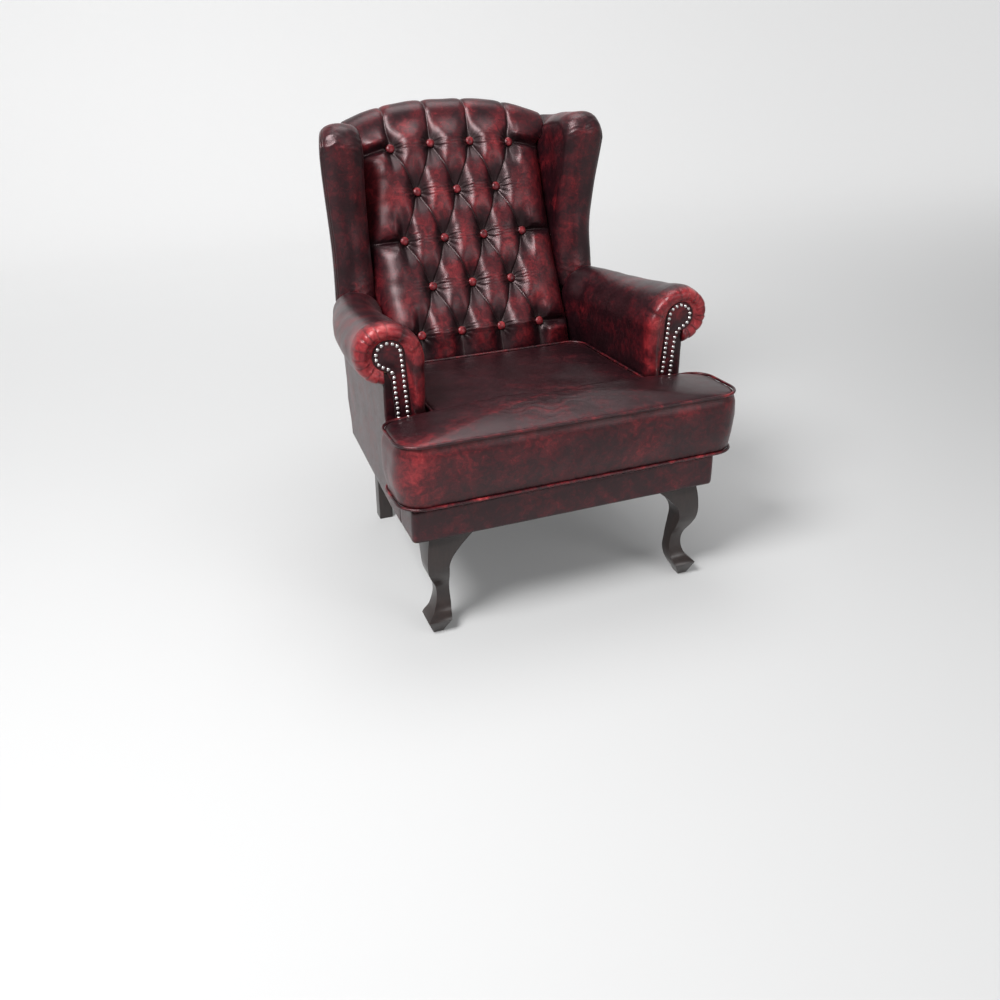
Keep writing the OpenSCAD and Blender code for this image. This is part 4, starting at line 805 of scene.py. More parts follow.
for side, seed in (("left", 60), ("right", 80)):
    padded_form("padded_arm_" + side, len(arm_y) - 1, OUTER_STEPS + BACK_STEPS + 2, arm_place(seed), rubbed_leather,
                "arm_pad_" + side, mirror=side == "left")

# %% [markdown]
# ## Facings, with their welt and dome nails
# The front of each arm is closed by a shaped panel: thin board, a layer of wadding and leather turned
# round its edge. It is built from level rows, whose ends lie on the panel's outline, and it swells a
# little away from the edge. A thin welt runs round it, and dome nails hold it on.

# %% The outline of a facing
FACE_FRONT = 178.0


def face_edges(z):
    """Left and right end of the facing's row at height z."""
    up = clamp((z - FACE_C[1]) / FACE_R, -1, 1)
    left = np.where(z > FACE_C[1], FACE_C[0] - FACE_R * np.sqrt(1 - up ** 2),
                    FACE_C[0] - FACE_R - LEAN * (FACE_C[1] - z))
    turn_z = FACE_C[1] + FACE_R * math.sin(FACE_TURN)
    circle = FACE_C[0] + FACE_R * np.sqrt(1 - up ** 2)
    low = clamp((z - FILLET_C[1]) / FILLET_R, 0, 1)
    fillet = FILLET_C[0] - FILLET_R * np.sqrt(1 - low ** 2)
    tail = 356.0 - LEAN * (FILLET_C[1] - z)
    return left, np.where(z > turn_z, circle, np.where(z > FILLET_C[1], fillet, tail))


face_rows = np.concatenate([np.linspace(ARM_LOW, FILLET_C[1], 60, endpoint=False),
                            FACE_C[1] + FACE_R * np.sin(np.radians(np.linspace(-88, 90, 60)))])
face_rows = np.unique(np.round(face_rows, 4))


def facing_loop(inset, steps=260):
    """The outline from the foot inside, over the top and down outside, drawn in by inset."""
    left = np.array([[FACE_C[0] - FACE_R + inset - LEAN * (FACE_C[1] - z), z]
                     for z in np.linspace(ARM_LOW, FACE_C[1], 60, endpoint=False)])
    a = np.linspace(math.pi, FACE_TURN, 90)
    head = put(FACE_C[0] + (FACE_R - inset) * np.cos(a), FACE_C[1] + (FACE_R - inset) * np.sin(a))
    b = np.linspace(math.pi + FACE_TURN, math.pi, 24)
    turn = put(FILLET_C[0] + (FILLET_R + inset) * np.cos(b), FILLET_C[1] + (FILLET_R + inset) * np.sin(b))
    right = np.array([[356.0 - inset - LEAN * (FILLET_C[1] - z), z]
                      for z in np.linspace(FILLET_C[1], ARM_LOW, 50)])
    line = np.concatenate([left, head, turn[1:], right[1:]])
    run = run_along(line)
    at = np.linspace(0, 1, steps) * run[-1]
    return put(np.interp(at, run, line[:, 0]), np.interp(at, run, line[:, 1])), run[-1]


edge_line, edge_length = facing_loop(0.0, 400)
print("the outline is", round(edge_length), "mm long")

# %% [markdown]
# The panel is thin wood with wadding, so it is nearly flat, rounds off over its last three millimetres and
# is closed by a plain back that lies inside the arm.

# %% The facings' surface
def facing_place(i, j):
    z = face_rows[i]
    left, right = face_edges(z)
    x = mix(left, right, 0.5 - 0.5 * np.cos(math.pi * clamp(j / 28)))
    behind = j > 28
    x = np.where(behind, mix(right, left, (j - 28) / 6), x)
    gap = np.min(np.hypot(x[:, None] - edge_line[None, :, 0], z[:, None] - edge_line[None, :, 1]), axis=1)
    round_off = 1 - np.sqrt(1 - (1 - clamp(gap / 3.0)) ** 2)
    spot = put(x, 0, z)
    y = FACE_FRONT + 2.6 * round_off - 1.4 * ease((gap - 10) / 14) - 0.3 * waves(spot, 40, 91) * ease((gap - 9) / 8)
    y = np.where(behind, 181.9, np.minimum(y, 181.5))
    worn = 0.50 + 0.12 * waves(spot, 60, 92) - 0.08 * ease((gap - 6) / 14)
    # The fold mark paints shade on the rounded edge, where the leather turns in towards the welt.
    return put(x, y, z), {"rub": worn, "fold": 0.5 * round_off}


for side in ("left", "right"):
    padded_form("facing_cover_" + side, len(face_rows) - 1, 34, facing_place, side_leather, "arm_facing_" + side,
                mirror=side == "left")

# %% [markdown]
# A dome nail is a small stamped cap. One is made from a ball: its lower half is cut off and closed, and it
# is pressed flatter. Copies are then set along the outline, each a little out of line and turned, because
# nails are driven by hand. Nickel is a bright metal, dulled a little by fine scratches.

# %% One dome nail, and its metal
def metal(name, colour, rough, scratch):
    material, nodes, links, shader, place = new_material(name, Base_Color=(*colour, 1), Metallic=1.0)
    marks = noise_of(nodes, place, 700.0, 3.0)
    links.new(value_node(nodes, "MULTIPLY_ADD", marks, scratch, rough), shader.inputs["Roughness"])
    return material


nickel = metal("worn nickel", (0.70, 0.69, 0.68), 0.20, 0.22)
select_only()
bpy.ops.mesh.primitive_uv_sphere_add(segments=12, ring_count=8, radius=0.0043)
nail = bpy.context.object
bpy.ops.object.mode_set(mode="EDIT")
bpy.ops.mesh.select_all(action="SELECT")
bpy.ops.mesh.bisect(plane_co=(0, 0, 0.0005), plane_no=(0, 0, 1), clear_inner=True, use_fill=True)
bpy.ops.object.mode_set(mode="OBJECT")
nail.rotation_euler = (math.pi / 2, 0, 0)
nail.scale = (1, 1, 0.68)
bpy.ops.object.transform_apply(location=False, rotation=True, scale=True)
bpy.ops.object.shade_smooth_by_angle(angle=math.radians(50))
print("one nail has", len(nail.data.polygons), "faces")

# %% [markdown]
# The welt is a thin cord right at the facing's edge, and the nails follow seven millimetres inside it.

# %% The welts and the rows of nails
NAIL_PITCH, NAIL_INSET = 12.0, 7.0
nail_count = int(facing_loop(NAIL_INSET)[1] // NAIL_PITCH)
nail_places = facing_loop(NAIL_INSET, nail_count + 1)[0]
welt_line = facing_loop(1.2, 200)[0]
for side, sign in (("left", -1), ("right", 1)):
    welt = piping("facing_welt", put(sign * welt_line[:, 0], 178.6, welt_line[:, 1]), 1.5, 8, closed=False, rub=0.2)
    finish(welt, side_leather)
    welt.name = "facing_welt_" + side
    nails = []
    for k, (x, z) in enumerate(nail_places):
        select_only(nail)
        bpy.ops.object.duplicate()
        one = bpy.context.object
        bpy.ops.transform.rotate(value=0.12 * math.sin(2.7 * k), orient_axis="X", center_override=(0, 0, 0))
        one.location = metres([sign * x + 0.3 * math.sin(5.1 * k), FACE_FRONT - 0.1, z + 0.3 * math.sin(3.3 * k)])
        nails.append(one)
    row = joined(nails, "dome_nails_" + side)
    bpy.ops.object.transform_apply(location=True, rotation=True, scale=True)
    finish(row, nickel, ["facing_nails_" + side])
bpy.data.objects.remove(nail)

# %% [markdown]
# ## Wings
# Each wing is a board with wadding over its front, so its edge is a fat half round that thins towards the
# crest. Its section is carried up the front, round the top corner and back along the top. The leather
# wrinkles across the roll where it turns the corner, and where it meets the arm.

# %% The board under a wing
TAN_W, COS_W, SIN_W = math.tan(math.radians(15.6)), math.cos(math.radians(15.6)), math.sin(math.radians(15.6))
WING_Y, WING_FRONT = ARM_END + 14, ARM_END + 1.3
WING_LOW, WING_TOP, CORNER_R = ROLL_Z - 19, CHAIR_H - 25.0, 50.0
CORNER_Z = WING_TOP - CORNER_R


def flat_back(n, s):
    return back_point(0.0, n, s)[1:]


RIDGE_END = flat_back(4.3, CREST_S + 3)
ROOT_LOW = np.array([back_y(WING_LOW) - 40 / COS_R, WING_LOW])
ROOT_KNEE, ROOT_END = flat_back(40.0, FLARE_S + 3), flat_back(4.3, FLARE_S + 3)


def wing_out(y):
    return SIDE_HALF - (y - WING_Y) * TAN_W


def wing_in(y, z):
    n, s = back_n_s(y, z)
    drawn = mix(259.0, 255.0, clamp((y - WING_Y) / (RIDGE_END[0] - WING_Y)))
    drawn = drawn + CREST_FLARE * ease((s - FLARE_S) / 42) * (1 - ease((n - 100) / 100))
    pad_side = flared(np.full_like(s, PAD_HALF), s + sag(np.full_like(s, PAD_HALF), s)) + 2.0
    return np.maximum(drawn, np.where(n < 96, pad_side, 0))


def wing_flare(z):
    """How far the front of a wing leans outwards towards its top."""
    return 12.0 * ease((z - 640) / 330)


print("a wing is", round(float(wing_out(WING_Y) - wing_in(WING_Y, np.array([800.0]))[0])), "mm thick at its front")

# %% [markdown]
# The edge runs up the front, round the corner and back along the top to the crest. Every point of the edge
# is paired with a point of the root, where the wing meets the back, and a section lies between the two.

# %% The edge and the root of a wing
front_z = np.concatenate([np.linspace(WING_LOW, WING_LOW + 60, 18, endpoint=False),
                          np.linspace(WING_LOW + 60, CORNER_Z, 70, endpoint=False)])
wing_edge = [[WING_FRONT + 22 * math.sin(math.pi * (z - WING_LOW) / (CORNER_Z - WING_LOW)), z] for z in front_z]
wing_edge += [[WING_FRONT + CORNER_R * (1 + math.cos(a)), CORNER_Z + CORNER_R * math.sin(a)]
              for a in np.radians(np.linspace(180, 92, 30))]
wing_edge += [[mix(WING_FRONT + CORNER_R, RIDGE_END[0], t), mix(WING_TOP, RIDGE_END[1], t)]
              for t in np.linspace(0, 1, 62)[1:]]
wing_edge = np.array(wing_edge)
WING_LAST = len(wing_edge) - 1
TAIL = WING_LAST - 22
root_share = np.arange(WING_LAST + 1) / TAIL
wing_root = mix(ROOT_LOW, ROOT_KNEE, (clamp(root_share) ** 0.8)[:, None])
wing_root[TAIL + 1:] = mix(ROOT_KNEE, ROOT_END, ((np.arange(TAIL + 1, WING_LAST + 1) - TAIL) / 22)[:, None])
round_a = np.concatenate([np.linspace(0, 19, 5), [22.5, 24, 25, 26, 28.5, 33.5, 35.5, 36.5, 37.5],
                          np.linspace(42, 180, 44)])
ROUND, INNER = len(round_a), 44
wing_run = run_along(wing_edge)
print("the edge of a wing is", round(wing_run[-1]), "mm long")

# %% [markdown]
# The section goes round the fat edge as a half circle and then back along the inner face, and the board
# closes it inside. Two sewn seams run beside the edge, which is where the wrinkles start.

# %% The wings

def wing_place(i, j):
    e, root = wing_edge[i], wing_root[i]
    span, way = np.linalg.norm(root - e, axis=1), unit(root - e)
    deep = np.minimum(45.0, 0.8 * span)
    a = np.radians(round_a[np.minimum(j, ROUND - 1)])
    face = clamp((j - ROUND + 1) / INNER)
    p = e + way * np.where(j < ROUND, deep * (1 - np.sin(a)), mix(deep, span, face))[:, None]
    out, inn = wing_out(p[:, 0]), wing_in(p[:, 0], p[:, 1])
    middle = (out + inn) / 2
    x = np.where(j < ROUND, middle + (out - middle) * np.cos(a), inn)
    spot = put(x, p[:, 0], p[:, 1])
    run = wing_run[i]
    across = np.exp(-((run - 400) / 42.0) ** 2) + 0.8 * np.exp(-(run / 40.0) ** 2)
    turned = np.where(j < ROUND, np.sin(a), 1 - ease(face * 3))
    wrinkle = 2.2 * across * turned * np.abs(np.sin(run / 5.6 + 1.2 * waves(spot, 50, 41))) ** 0.8
    puff = 1.4 * waves(spot, 110, 42) * turned - wrinkle
    seams = (np.exp(-((np.degrees(a) - 25) / 1.0) ** 2) + np.exp(-((np.degrees(a) - 36.5) / 1.0) ** 2)) * (j < ROUND)
    puff = np.where(np.degrees(a) < 23, np.maximum(puff, 0), puff) - 1.2 * seams
    belly = 5.0 * np.sin(math.pi * face) * ease((back_n_s(p[:, 0], p[:, 1])[0] - 125) / 60) * (j >= ROUND - 1)
    ends = ease(i / 4) * ease((WING_LAST - i) / 6)
    p = p - way * (puff * ends * np.where(j < ROUND, np.sin(a), 0))[:, None]
    x = x + puff * ends * np.where(j < ROUND, np.cos(a), -ease(face * 6) * ease((1 - face) * 6)) * 0.8 - belly * ends
    x = np.where(j < ROUND, np.minimum(x, out + 0.5), x)
    k = j - ROUND - INNER
    core = 4.9 + np.where(i > TAIL, 0, 20.0)
    set_in = deep * 30 / 45
    reach = np.interp(k, [0, 1, 6, 11, 12, 13], [1, 1, 0.35, 0, 0, 0])
    q = e + way * np.where(k >= 13, deep, mix(set_in, span, reach))[:, None]
    depth = np.where(k >= 12, 4.3, core)
    inside = put(wing_out(q[:, 0]) - depth * COS_W, q[:, 0] - depth * SIN_W, q[:, 1])
    x = x + wing_flare(p[:, 1]) * np.where(j < ROUND, 1.0, 1 - face)
    tuck = 30 * ease((3 - i) / 3) * np.where(j < ROUND, ease((np.degrees(a) - 70) / 60), ease((1 - face) / 0.15))
    skin = put(x, p[:, 0], p[:, 1] - tuck)
    points = np.where((j >= ROUND + INNER)[:, None], inside, skin)
    worn = 0.30 + 0.13 * turned + 0.11 * waves(spot, 75, 43) + 0.07 * across * turned - 0.10 * (x > middle)
    # The fold mark paints shade in the two seams, in the troughs of the wrinkles and where the inner face meets the
    # back.
    return points, {"rub": worn, "fold": clamp(0.9 * seams + 0.35 * across * turned *
                                               (1 - np.abs(np.sin(run / 5.6))) + 0.6 * ease((face - 0.9) / 0.1))}


for side in ("left", "right"):
    padded_form("padded_wing_" + side, WING_LAST, ROUND + INNER + 14, wing_place, rubbed_leather, "wing_pad_" + side,
                mirror=side == "left")

# %% [markdown]
# ## The outside panels
# The outside of a chair like this is closed with flat pieces of leather over a thin lining: one on each
# arm, one on each wing, one on the back and one round the front rail. Each is a closed sheet about as
# thick as leather and lining together. It is slightly full in the middle and rounded at its edges.

# %% One helper for the outside panels
def panel_form(name, columns, rows, surface, thick=3.6, mirror=False):
    """A sheet whose outer side is surface(c, r) with c and r from 0 to 1; it returns points and the inward way."""
    around = 2 * rows + 2

    def place(i, j):
        front = j <= rows
        r = np.where(front, j, 2 * rows + 1 - j) / rows
        c = i / columns
        points, inward = surface(c, clamp(r))
        points = points + np.where(front, 0.0, thick)[:, None] * inward
        edge = np.minimum(np.minimum(c, 1 - c) * columns, np.minimum(r, 1 - r) * rows)
        points = points + (np.where(front, 0.9, 0) * (1 - ease(edge / 2)))[:, None] * inward
        # The fold mark paints shade along the sheet's edges, where it meets the pieces next to it.
        return points, {"rub": 0.35 + 0.05 * waves(points, 120, 71) + 0.05 * waves(points, 40, 72),
                        "fold": 0.45 * (1 - ease(edge / 2.5)) * front}

    return grid_form(name, columns, around, place, mirror=mirror)


def panelled(piece, material, node):
    finish(piece, material, [node])


# %% [markdown]
# The outside arm panel hangs from under the roll down to the base. Behind it a narrower piece turns in to
# the back, and at the front a leather tab closes the gap beside the facing. The three are one cover.

# %% The outside of the arms
def under_roll(y):
    _, cz, r, *_, lip = arm_section(y, 0.0)
    return cz + (r + 1) * np.sin(lip) - 1.0


arm_cols = np.concatenate([np.linspace(97, 183.9, 14), np.linspace(184, 588, 60), np.linspace(591, ARM_END, 8)])


def arm_panel(c, r):
    y = np.interp(c * (len(arm_cols) - 1), np.arange(len(arm_cols)), arm_cols)
    low = np.maximum(BASE_H, back_z(y + 0.3))
    high = np.where(y < 183.95, 322.0, under_roll(np.minimum(y, ARM_END)))
    z = mix(low, high, r)
    full = 1.6 * np.sin(math.pi * clamp((y - 184) / 440)) * np.sin(math.pi * r)
    spot = put(0, y, z)
    x = side_plane(y) + full + 0.5 * waves(spot, 130, 77) * np.sin(math.pi * r)
    return put(x, y, z), np.array([-1.0, 0, 0])


def front_flap(c, r):
    return put(mix(345.0, 371.7, r), 182.1, mix(323.5, 574.0, c)), np.array([0, 1.0, 0])


def behind_arm(c, r):
    high = WING_LOW - 1
    z = mix(BASE_H + 3.0, high, c)
    fold_y = np.interp(z, [BASE_H, float(under_roll(ARM_END)), high], [588.3, ARM_END + 0.3, ARM_END + 0.3])
    y = mix(fold_y, back_y(z) - BOARD - 0.3, r)
    last_x = mix(SIDE_HALF - SIDE_TAPER + 0.1, wing_out(back_y(high)), (z - BASE_H) / (high - BASE_H))
    x = mix(side_plane(fold_y), last_x, r)
    lift = np.interp(z, [538, high], [0, 1]) * clamp(1 - np.abs(y - 672.6) / 50) * 5.5
    return put(x + lift * 0.9, y, z), np.array([-1.0, 0, 0])


for side in ("left", "right"):
    flip = side == "left"
    name = "outside_arm_panel_" + side
    outside = panel_form(name, len(arm_cols) - 1, 40, arm_panel, mirror=flip)
    corner = panel_form("outside_arm_corner_" + side, 40, 12, behind_arm, mirror=flip)
    flap = panel_form("outside_arm_flap_" + side, 40, 10, front_flap, thick=1.5, mirror=flip)
    panelled(joined([outside, corner, flap], name), side_leather, "outer_arm_panel_" + side)

# %% [markdown]
# The wing's outside panel starts behind the seam of the wing's rolled edge and follows the board to the
# back. The back panel covers all that is left, and its top follows the fall of the crest.

# %% The outside of the wings and of the back
def wing_panel(c, r):
    k = c * (WING_LAST - 12)
    e, root = through(wing_edge, k), through(wing_root, k)
    start = e + unit(root - e) * 44.6
    stop_z = np.minimum(start[:, 1], RIDGE_END[1] - 45)
    stop = put(back_y(stop_z) - 3.8 / COS_R, stop_z)
    p = mix(start, stop, r[:, None])
    full = 1.2 * np.sin(math.pi * r) * np.sin(math.pi * clamp(c * 1.2))
    x = wing_out(p[:, 0]) + full - 0.2 + wing_flare(p[:, 1]) * (1 - r)
    return put(x, p[:, 0], p[:, 1]), np.array([-COS_W, -SIN_W, 0])


def back_panel(c, r):
    s = r * (CREST_S - 1.0)
    mid_s = (WING_LOW - BASE_H) / COS_R
    half_low, half_mid = SIDE_HALF - SIDE_TAPER, wing_out(BASE_D + mid_s * SIN_R) - 0.2
    half_top = wing_out(BASE_D + (CREST_S - 66) * SIN_R) - 0.2
    half = np.interp(s, [0, mid_s, CREST_S - 66, CREST_S], [half_low, half_mid, half_top, half_top - 3])
    x = mix(-half, half, c)
    s = s - np.minimum(crest_drop(x) * ease((s - CREST_S + 150) / 150), 66)
    full = 1.5 * np.sin(math.pi * c) * np.sin(math.pi * r)
    return back_point(x, -full, s), np.array([0, -COS_R, SIN_R])


for side in ("left", "right"):
    wide = panel_form("outside_wing_panel_" + side, 80, 24, wing_panel, mirror=side == "left")
    panelled(wide, side_leather, "outer_wing_panel_" + side)
panelled(panel_form("outside_back_panel", 90, 80, back_panel), side_leather, "outer_back_panel")

# %% [markdown]
# The front rail is covered with the rubbed leather of the seat. One strip runs round both front corners
# and turns in over the rail's top edge, where the cushion hides its end.

# %% The cover of the front rail
COVER_X, COVER_R, TURN_R = SIDE_HALF - 0.2, 12.0, 4.6
corner_line = [[COVER_X - COVER_R + COVER_R * math.sin(a), COVER_R - COVER_R * math.cos(a)]
               for a in np.radians(np.linspace(0, 90, 12))]
half_cover = np.array(corner_line + [[COVER_X, y] for y in [*np.linspace(14, 88, 12), 94.5]])
cover_path = np.concatenate([(half_cover * [-1, 1])[::-1], put(np.linspace(-352, 352, 90), 0.0), half_cover])
cover_turn = unit(np.gradient(cover_path, axis=0))
cover_inward = put(-cover_turn[:, 1], cover_turn[:, 0])


def rail_panel(c, r):
    k = np.rint(c * (len(cover_path) - 1)).astype(int)
    at, inward = cover_path[k], cover_inward[k]
    turn = clamp((r - 0.8) / 0.12) * math.pi / 2
    lip = clamp((r - 0.92) / 0.08)
    z = np.where(r < 0.8, mix(250.2, 319.0, r / 0.8), 319 + TURN_R * np.sin(turn))
    depth = np.where(r < 0.8, 0.0, TURN_R * (1 - np.cos(turn)) + 8.0 * lip)
    spot = put(at[:, 0], at[:, 1], z)
    swell = 0.8 * np.sin(math.pi * clamp(r / 0.8)) + 0.35 * waves(spot, 70, 88)
    flat = at + inward * (depth - swell * (r < 0.8))[:, None]
    way = put(inward[:, 0] * np.cos(turn), inward[:, 1] * np.cos(turn), -np.sin(turn))
    return put(flat[:, 0], flat[:, 1], z), way


panelled(panel_form("front_rail_cover", len(cover_path) - 1, 40, rail_panel, thick=3.4), rubbed_leather, "rail_cover")

# %% [markdown]
# ## The loose seat cushion
# The cushion is T shaped, so that its ears fill the space in front of the arms. Two shaped panels are
# sewn to a border strip with piping in both seams, and a soft filling crowns the top and rounds the
# border. Its outline is made of arcs, drawn in at the seams, and every level of it is a ring.

# %% The cushion's outline
EAR_HALF, EAR_BACK, CUSHION_BACK, NECK_HALF = 410.0, 165.0, BASE_D - 61.0, 274.4
NOSE_R, EAR_R, NECK_R, REAR_R, RING = 62.0, 56.0, 4.0, 45.0, 340
CUSHION_H, SEAM_IN, CROWN_H = 150.0, 9.0, 26.0
SEAT_TAN, CUSHION_LOW, CUSHION_C = math.tan(math.radians(3.36)), 330.6, np.array([0.0, 120.0])


def half_outline(inset):
    def arc(cx, cy, r, a0, a1, n):
        a = np.radians(np.linspace(a0, a1, n))
        return put(cx + r * np.cos(a), cy + r * np.sin(a))

    return np.concatenate([
        arc(EAR_HALF - NOSE_R, -NOSE + NOSE_R, NOSE_R - inset, -90, 0, 20),
        arc(EAR_HALF - EAR_R, EAR_BACK - EAR_R, EAR_R - inset, 0, 90, 18),
        arc(NECK_HALF + NECK_R, EAR_BACK + NECK_R, NECK_R + inset, -90, -180, 6),
        arc(NECK_HALF - REAR_R, CUSHION_BACK - REAR_R, REAR_R - inset, 0, 90, 14)])


def closed_outline(inset):
    half = half_outline(inset)
    whole = np.concatenate([half, (half * [-1, 1])[::-1]])
    return np.concatenate([whole, whole[:1]])


cushion_run = run_along(closed_outline(0.0))
ring_key = np.interp(np.linspace(0, cushion_run[-1], RING, endpoint=False), cushion_run, np.arange(len(cushion_run)))


def outline_at(inset):
    """The outline as a ring of points that match from ring to ring, drawn in by inset."""
    line, k = closed_outline(inset), np.floor(ring_key).astype(int)
    return mix(line[k], line[k + 1], (ring_key - k)[:, None])


outer_ring, seam_ring = outline_at(0.0), outline_at(SEAM_IN)
print("the outline of the cushion is", round(cushion_run[-1]), "mm long")

# %% [markdown]
# The cushion rises towards the front as the seat does, and it lies loose: its ears sit a little to the
# right. Its levels start under the cushion, go up the border and close towards the middle of the top.

# %% The cushion's lie and its levels
def seat_point(xy, z):
    """A point of the cushion, whose ears lie a little to the right, as a loose cushion does."""
    x = xy[..., 0] + 7.0 * ease((np.abs(xy[..., 0]) - 285) / 70) + 11.0 * ease((xy[..., 0] - 285) / 100)
    return put(x, xy[..., 1], CUSHION_LOW + z - xy[..., 1] * SEAT_TAN)


bottom_shares = np.array([0.02, 0.2, 0.4, 0.6, 0.8, 0.93, 0.985])
border_t = np.linspace(0, 1, 26)
top_shares = np.concatenate([[0.992, 0.975, 0.95], np.linspace(0.92, 0.02, 44)])
UNDER, BORDER = len(bottom_shares), len(border_t)
LEVELS = UNDER + BORDER + len(top_shares)
print(LEVELS, "levels of", RING, "points")

# %% [markdown]
# The top panel sinks a little round each seam and puckers there, because the sewing thread pulls it in.
# Real wear shows as soft creases in the middle of the front edge, where people sit and stand up.

# %% The border and the top of the cushion
def border_inset(outer, t, z, run_at, spot, seam_near):
    """How far the border is drawn in, from its lower seam (t = 0) to its upper one."""
    bulge = through([[9.0], [6.0], [2.6], [0.6], [0.0], [0.4], [2.2], [9.0]], t * 7)[:, 0]
    pucker = seam_near * (0.9 * np.sin(run_at / 5.2 + 2 * waves(spot, 90, 51)) * clamp(0.4 + waves(spot, 60, 52)))
    soft = (1.3 * waves(spot, 130, 53) + 0.5 * waves(spot, 38, 54)) * np.sin(math.pi * t)
    crease = 0.9 * np.abs(np.sin(run_at / 13 + z / 40 + 1.5 * waves(spot, 120, 58))) ** 0.6
    crease *= clamp(waves(spot, 150, 59)) * np.sin(math.pi * t) * (outer[:, 1] < 40)
    return clamp(bulge + 0.8 + pucker - np.minimum(soft, 0.8) + crease, 0, 12)


def top_height(flat, share, run_at, spot):
    """Height of the top over the cushion's underside, and its wrinkles with where they lie."""
    lump = put(flat[:, 0], flat[:, 1], 0)
    crown = CROWN_H * (1 - share ** 2) ** 0.9
    dip = 2.4 * np.exp(-(1 - share) / 0.02)
    settle = (1.6 * waves(lump, 190, 55) + 0.8 * waves(lump, 70, 56)) * (1 - share) ** 0.4
    wrinkle_at = np.exp(-((flat[:, 0] + 20) / 130) ** 2 - ((flat[:, 1] - 60) / 75) ** 2)
    wrinkle = 0.3 * wrinkle_at * np.sin(flat[:, 1] / 4.2 + 2.8 * waves(lump, 60, 57) + flat[:, 0] / 60)
    seam_pull = np.exp(-(1 - share) / 0.03) * 0.7 * np.sin(run_at / 6.0 + 1.6 * waves(spot, 80, 60))
    return CUSHION_H + 1 + crown - dip + settle + wrinkle + seam_pull, wrinkle, wrinkle_at


print("the crown stands", CROWN_H, "mm over the upper seam")

# %% [markdown]
# The three parts are put together ring by ring. The leather is lighter along the upper front edge and on
# one worn corner, and painted shade darkens it in the seams and on the whole underside.

# %% The cushion
def cushion_place(i, j):
    i = np.where(i == RING, 0, i)
    outer, seam = outer_ring[i], seam_ring[i]
    under, is_top = j < UNDER, j >= UNDER + BORDER
    t = clamp((j - UNDER) / (BORDER - 1))
    z_border = mix(10.0, CUSHION_H - 3, t)
    run_at = i * cushion_run[-1] / RING
    spot = put(outer[:, 0], outer[:, 1], z_border)
    seam_near = np.exp(-t * BORDER / 3.4) + np.exp(-(1 - t) * BORDER / 3.4)
    inset = border_inset(outer, t, z_border, run_at, spot, seam_near)
    border = seat_point(outer + (seam - outer) * (inset / SEAM_IN)[:, None], z_border)
    share = np.interp(j - UNDER - BORDER, np.arange(len(top_shares)), top_shares)
    flat = mix(CUSHION_C, seam, share[:, None])
    z_top, wrinkle, wrinkle_at = top_height(flat, share, run_at, spot)
    share_low = np.interp(j, np.arange(UNDER), bottom_shares)
    low = seat_point(mix(CUSHION_C, seam, share_low[:, None]), np.where(share_low > 0.95, 3.0, 0.6))
    points = np.where(under[:, None], low, np.where(is_top[:, None], seat_point(flat, z_top), border))
    front = ease((60 - outer[:, 1]) / 60)
    worn = 0.37 + 0.06 * waves(spot, 110, 61) + 0.08 * ease((t - 0.55) / 0.4) + 0.05 * front * t
    near_edge = np.exp(-(1 - share) / 0.06)
    worn_top = 0.22 + 0.05 * waves(put(flat[:, 0], flat[:, 1], 0), 120, 62) + 0.16 * wrinkle_at
    worn_top += 0.26 * near_edge * (0.3 + 0.7 * front) + 0.10 * clamp(wrinkle / 0.3, -1, 1) * wrinkle_at
    left_corner = np.exp(-((outer[:, 0] + 365) / 45) ** 2 - (outer[:, 1] / 60) ** 2)
    # Painted shade: the fold mark is high in the seams and on the whole underside.
    fold = np.where(is_top, 0.7 * np.exp(-(1 - share) / 0.012), 0.6 * seam_near)
    return points, {"rub": np.where(is_top, worn_top, worn) + 0.24 * left_corner, "fold": np.where(under, 0.8, fold)}


cushion = grid_form("cushion_cover", RING, LEVELS - 1, cushion_place, wrap=False, ends=False)
work = bmesh.new()
work.from_mesh(cushion.data)
open_edges = [edge for edge in work.edges if edge.is_boundary]
bmesh.ops.holes_fill(work, edges=open_edges, sides=0)
bmesh.ops.recalc_face_normals(work, faces=work.faces)
work.to_mesh(cushion.data)
work.free()
finish(cushion, rubbed_leather, ["seat_cushion"], body="cushion")

# %% [markdown]
# A cord lies in each of the cushion's two seams, half sunk between the border and the panel.

# %% The cushion's piping
for name, z, inset, rub in (("top", CUSHION_H + 1.0, 6.8, 0.42), ("bottom", 6.4, 7.4, 0.50)):
    cord = piping("cushion_piping_" + name, seat_point(outline_at(inset), z), 3.4, 14, rub=rub)
    finish(cord, rubbed_leather, ["cushion_welt_" + name], body="cushion")

# %% [markdown]
# ## Shaped front legs
# A cabriole leg is sawn from one square blank, first along the curve seen from the front and then along
# the same curve seen from the side, which leaves crisp corners. Here each curve is a closed outline,
# extruded to a slab, and the two slabs are joined by a Boolean, as the saw cuts would. The
# ears at the top are cut from the same plank. A bevel then breaks every corner, as a maker does.

# %% The curves of a leg
KNEE_X, KNEE_Y, LEG_TOP = 350.0, 5.0, 249.0
OUTER_STOPS = [[34, 6.0], [50, 23.5], [70, 32.0], [92, 34.5], [114, 31.0], [136, 20.5], [158, 12.0], [180, 9.0],
               [202, 9.5], [226, 12.0], [249, 16.0]]
INNER_STOPS = [[0, 43.0], [34, 60.0], [62, 66.0], [90, 65.0], [118, 63.0], [146, 60.5], [172, 59.0], [188, 63.0],
               [204, 73.0], [222, 89.0], [236, 105.0], [249, 119.0]]


def curve_at(stops, z):
    rows = np.array(stops)
    return through(rows[:, 1:], np.interp(z, rows[:, 0], np.arange(len(rows))))[..., 0]


def leg_outer(z):
    return np.where(z > 34, curve_at(OUTER_STOPS, z), mix(6.0, 20.0, (34 - z) / 34))


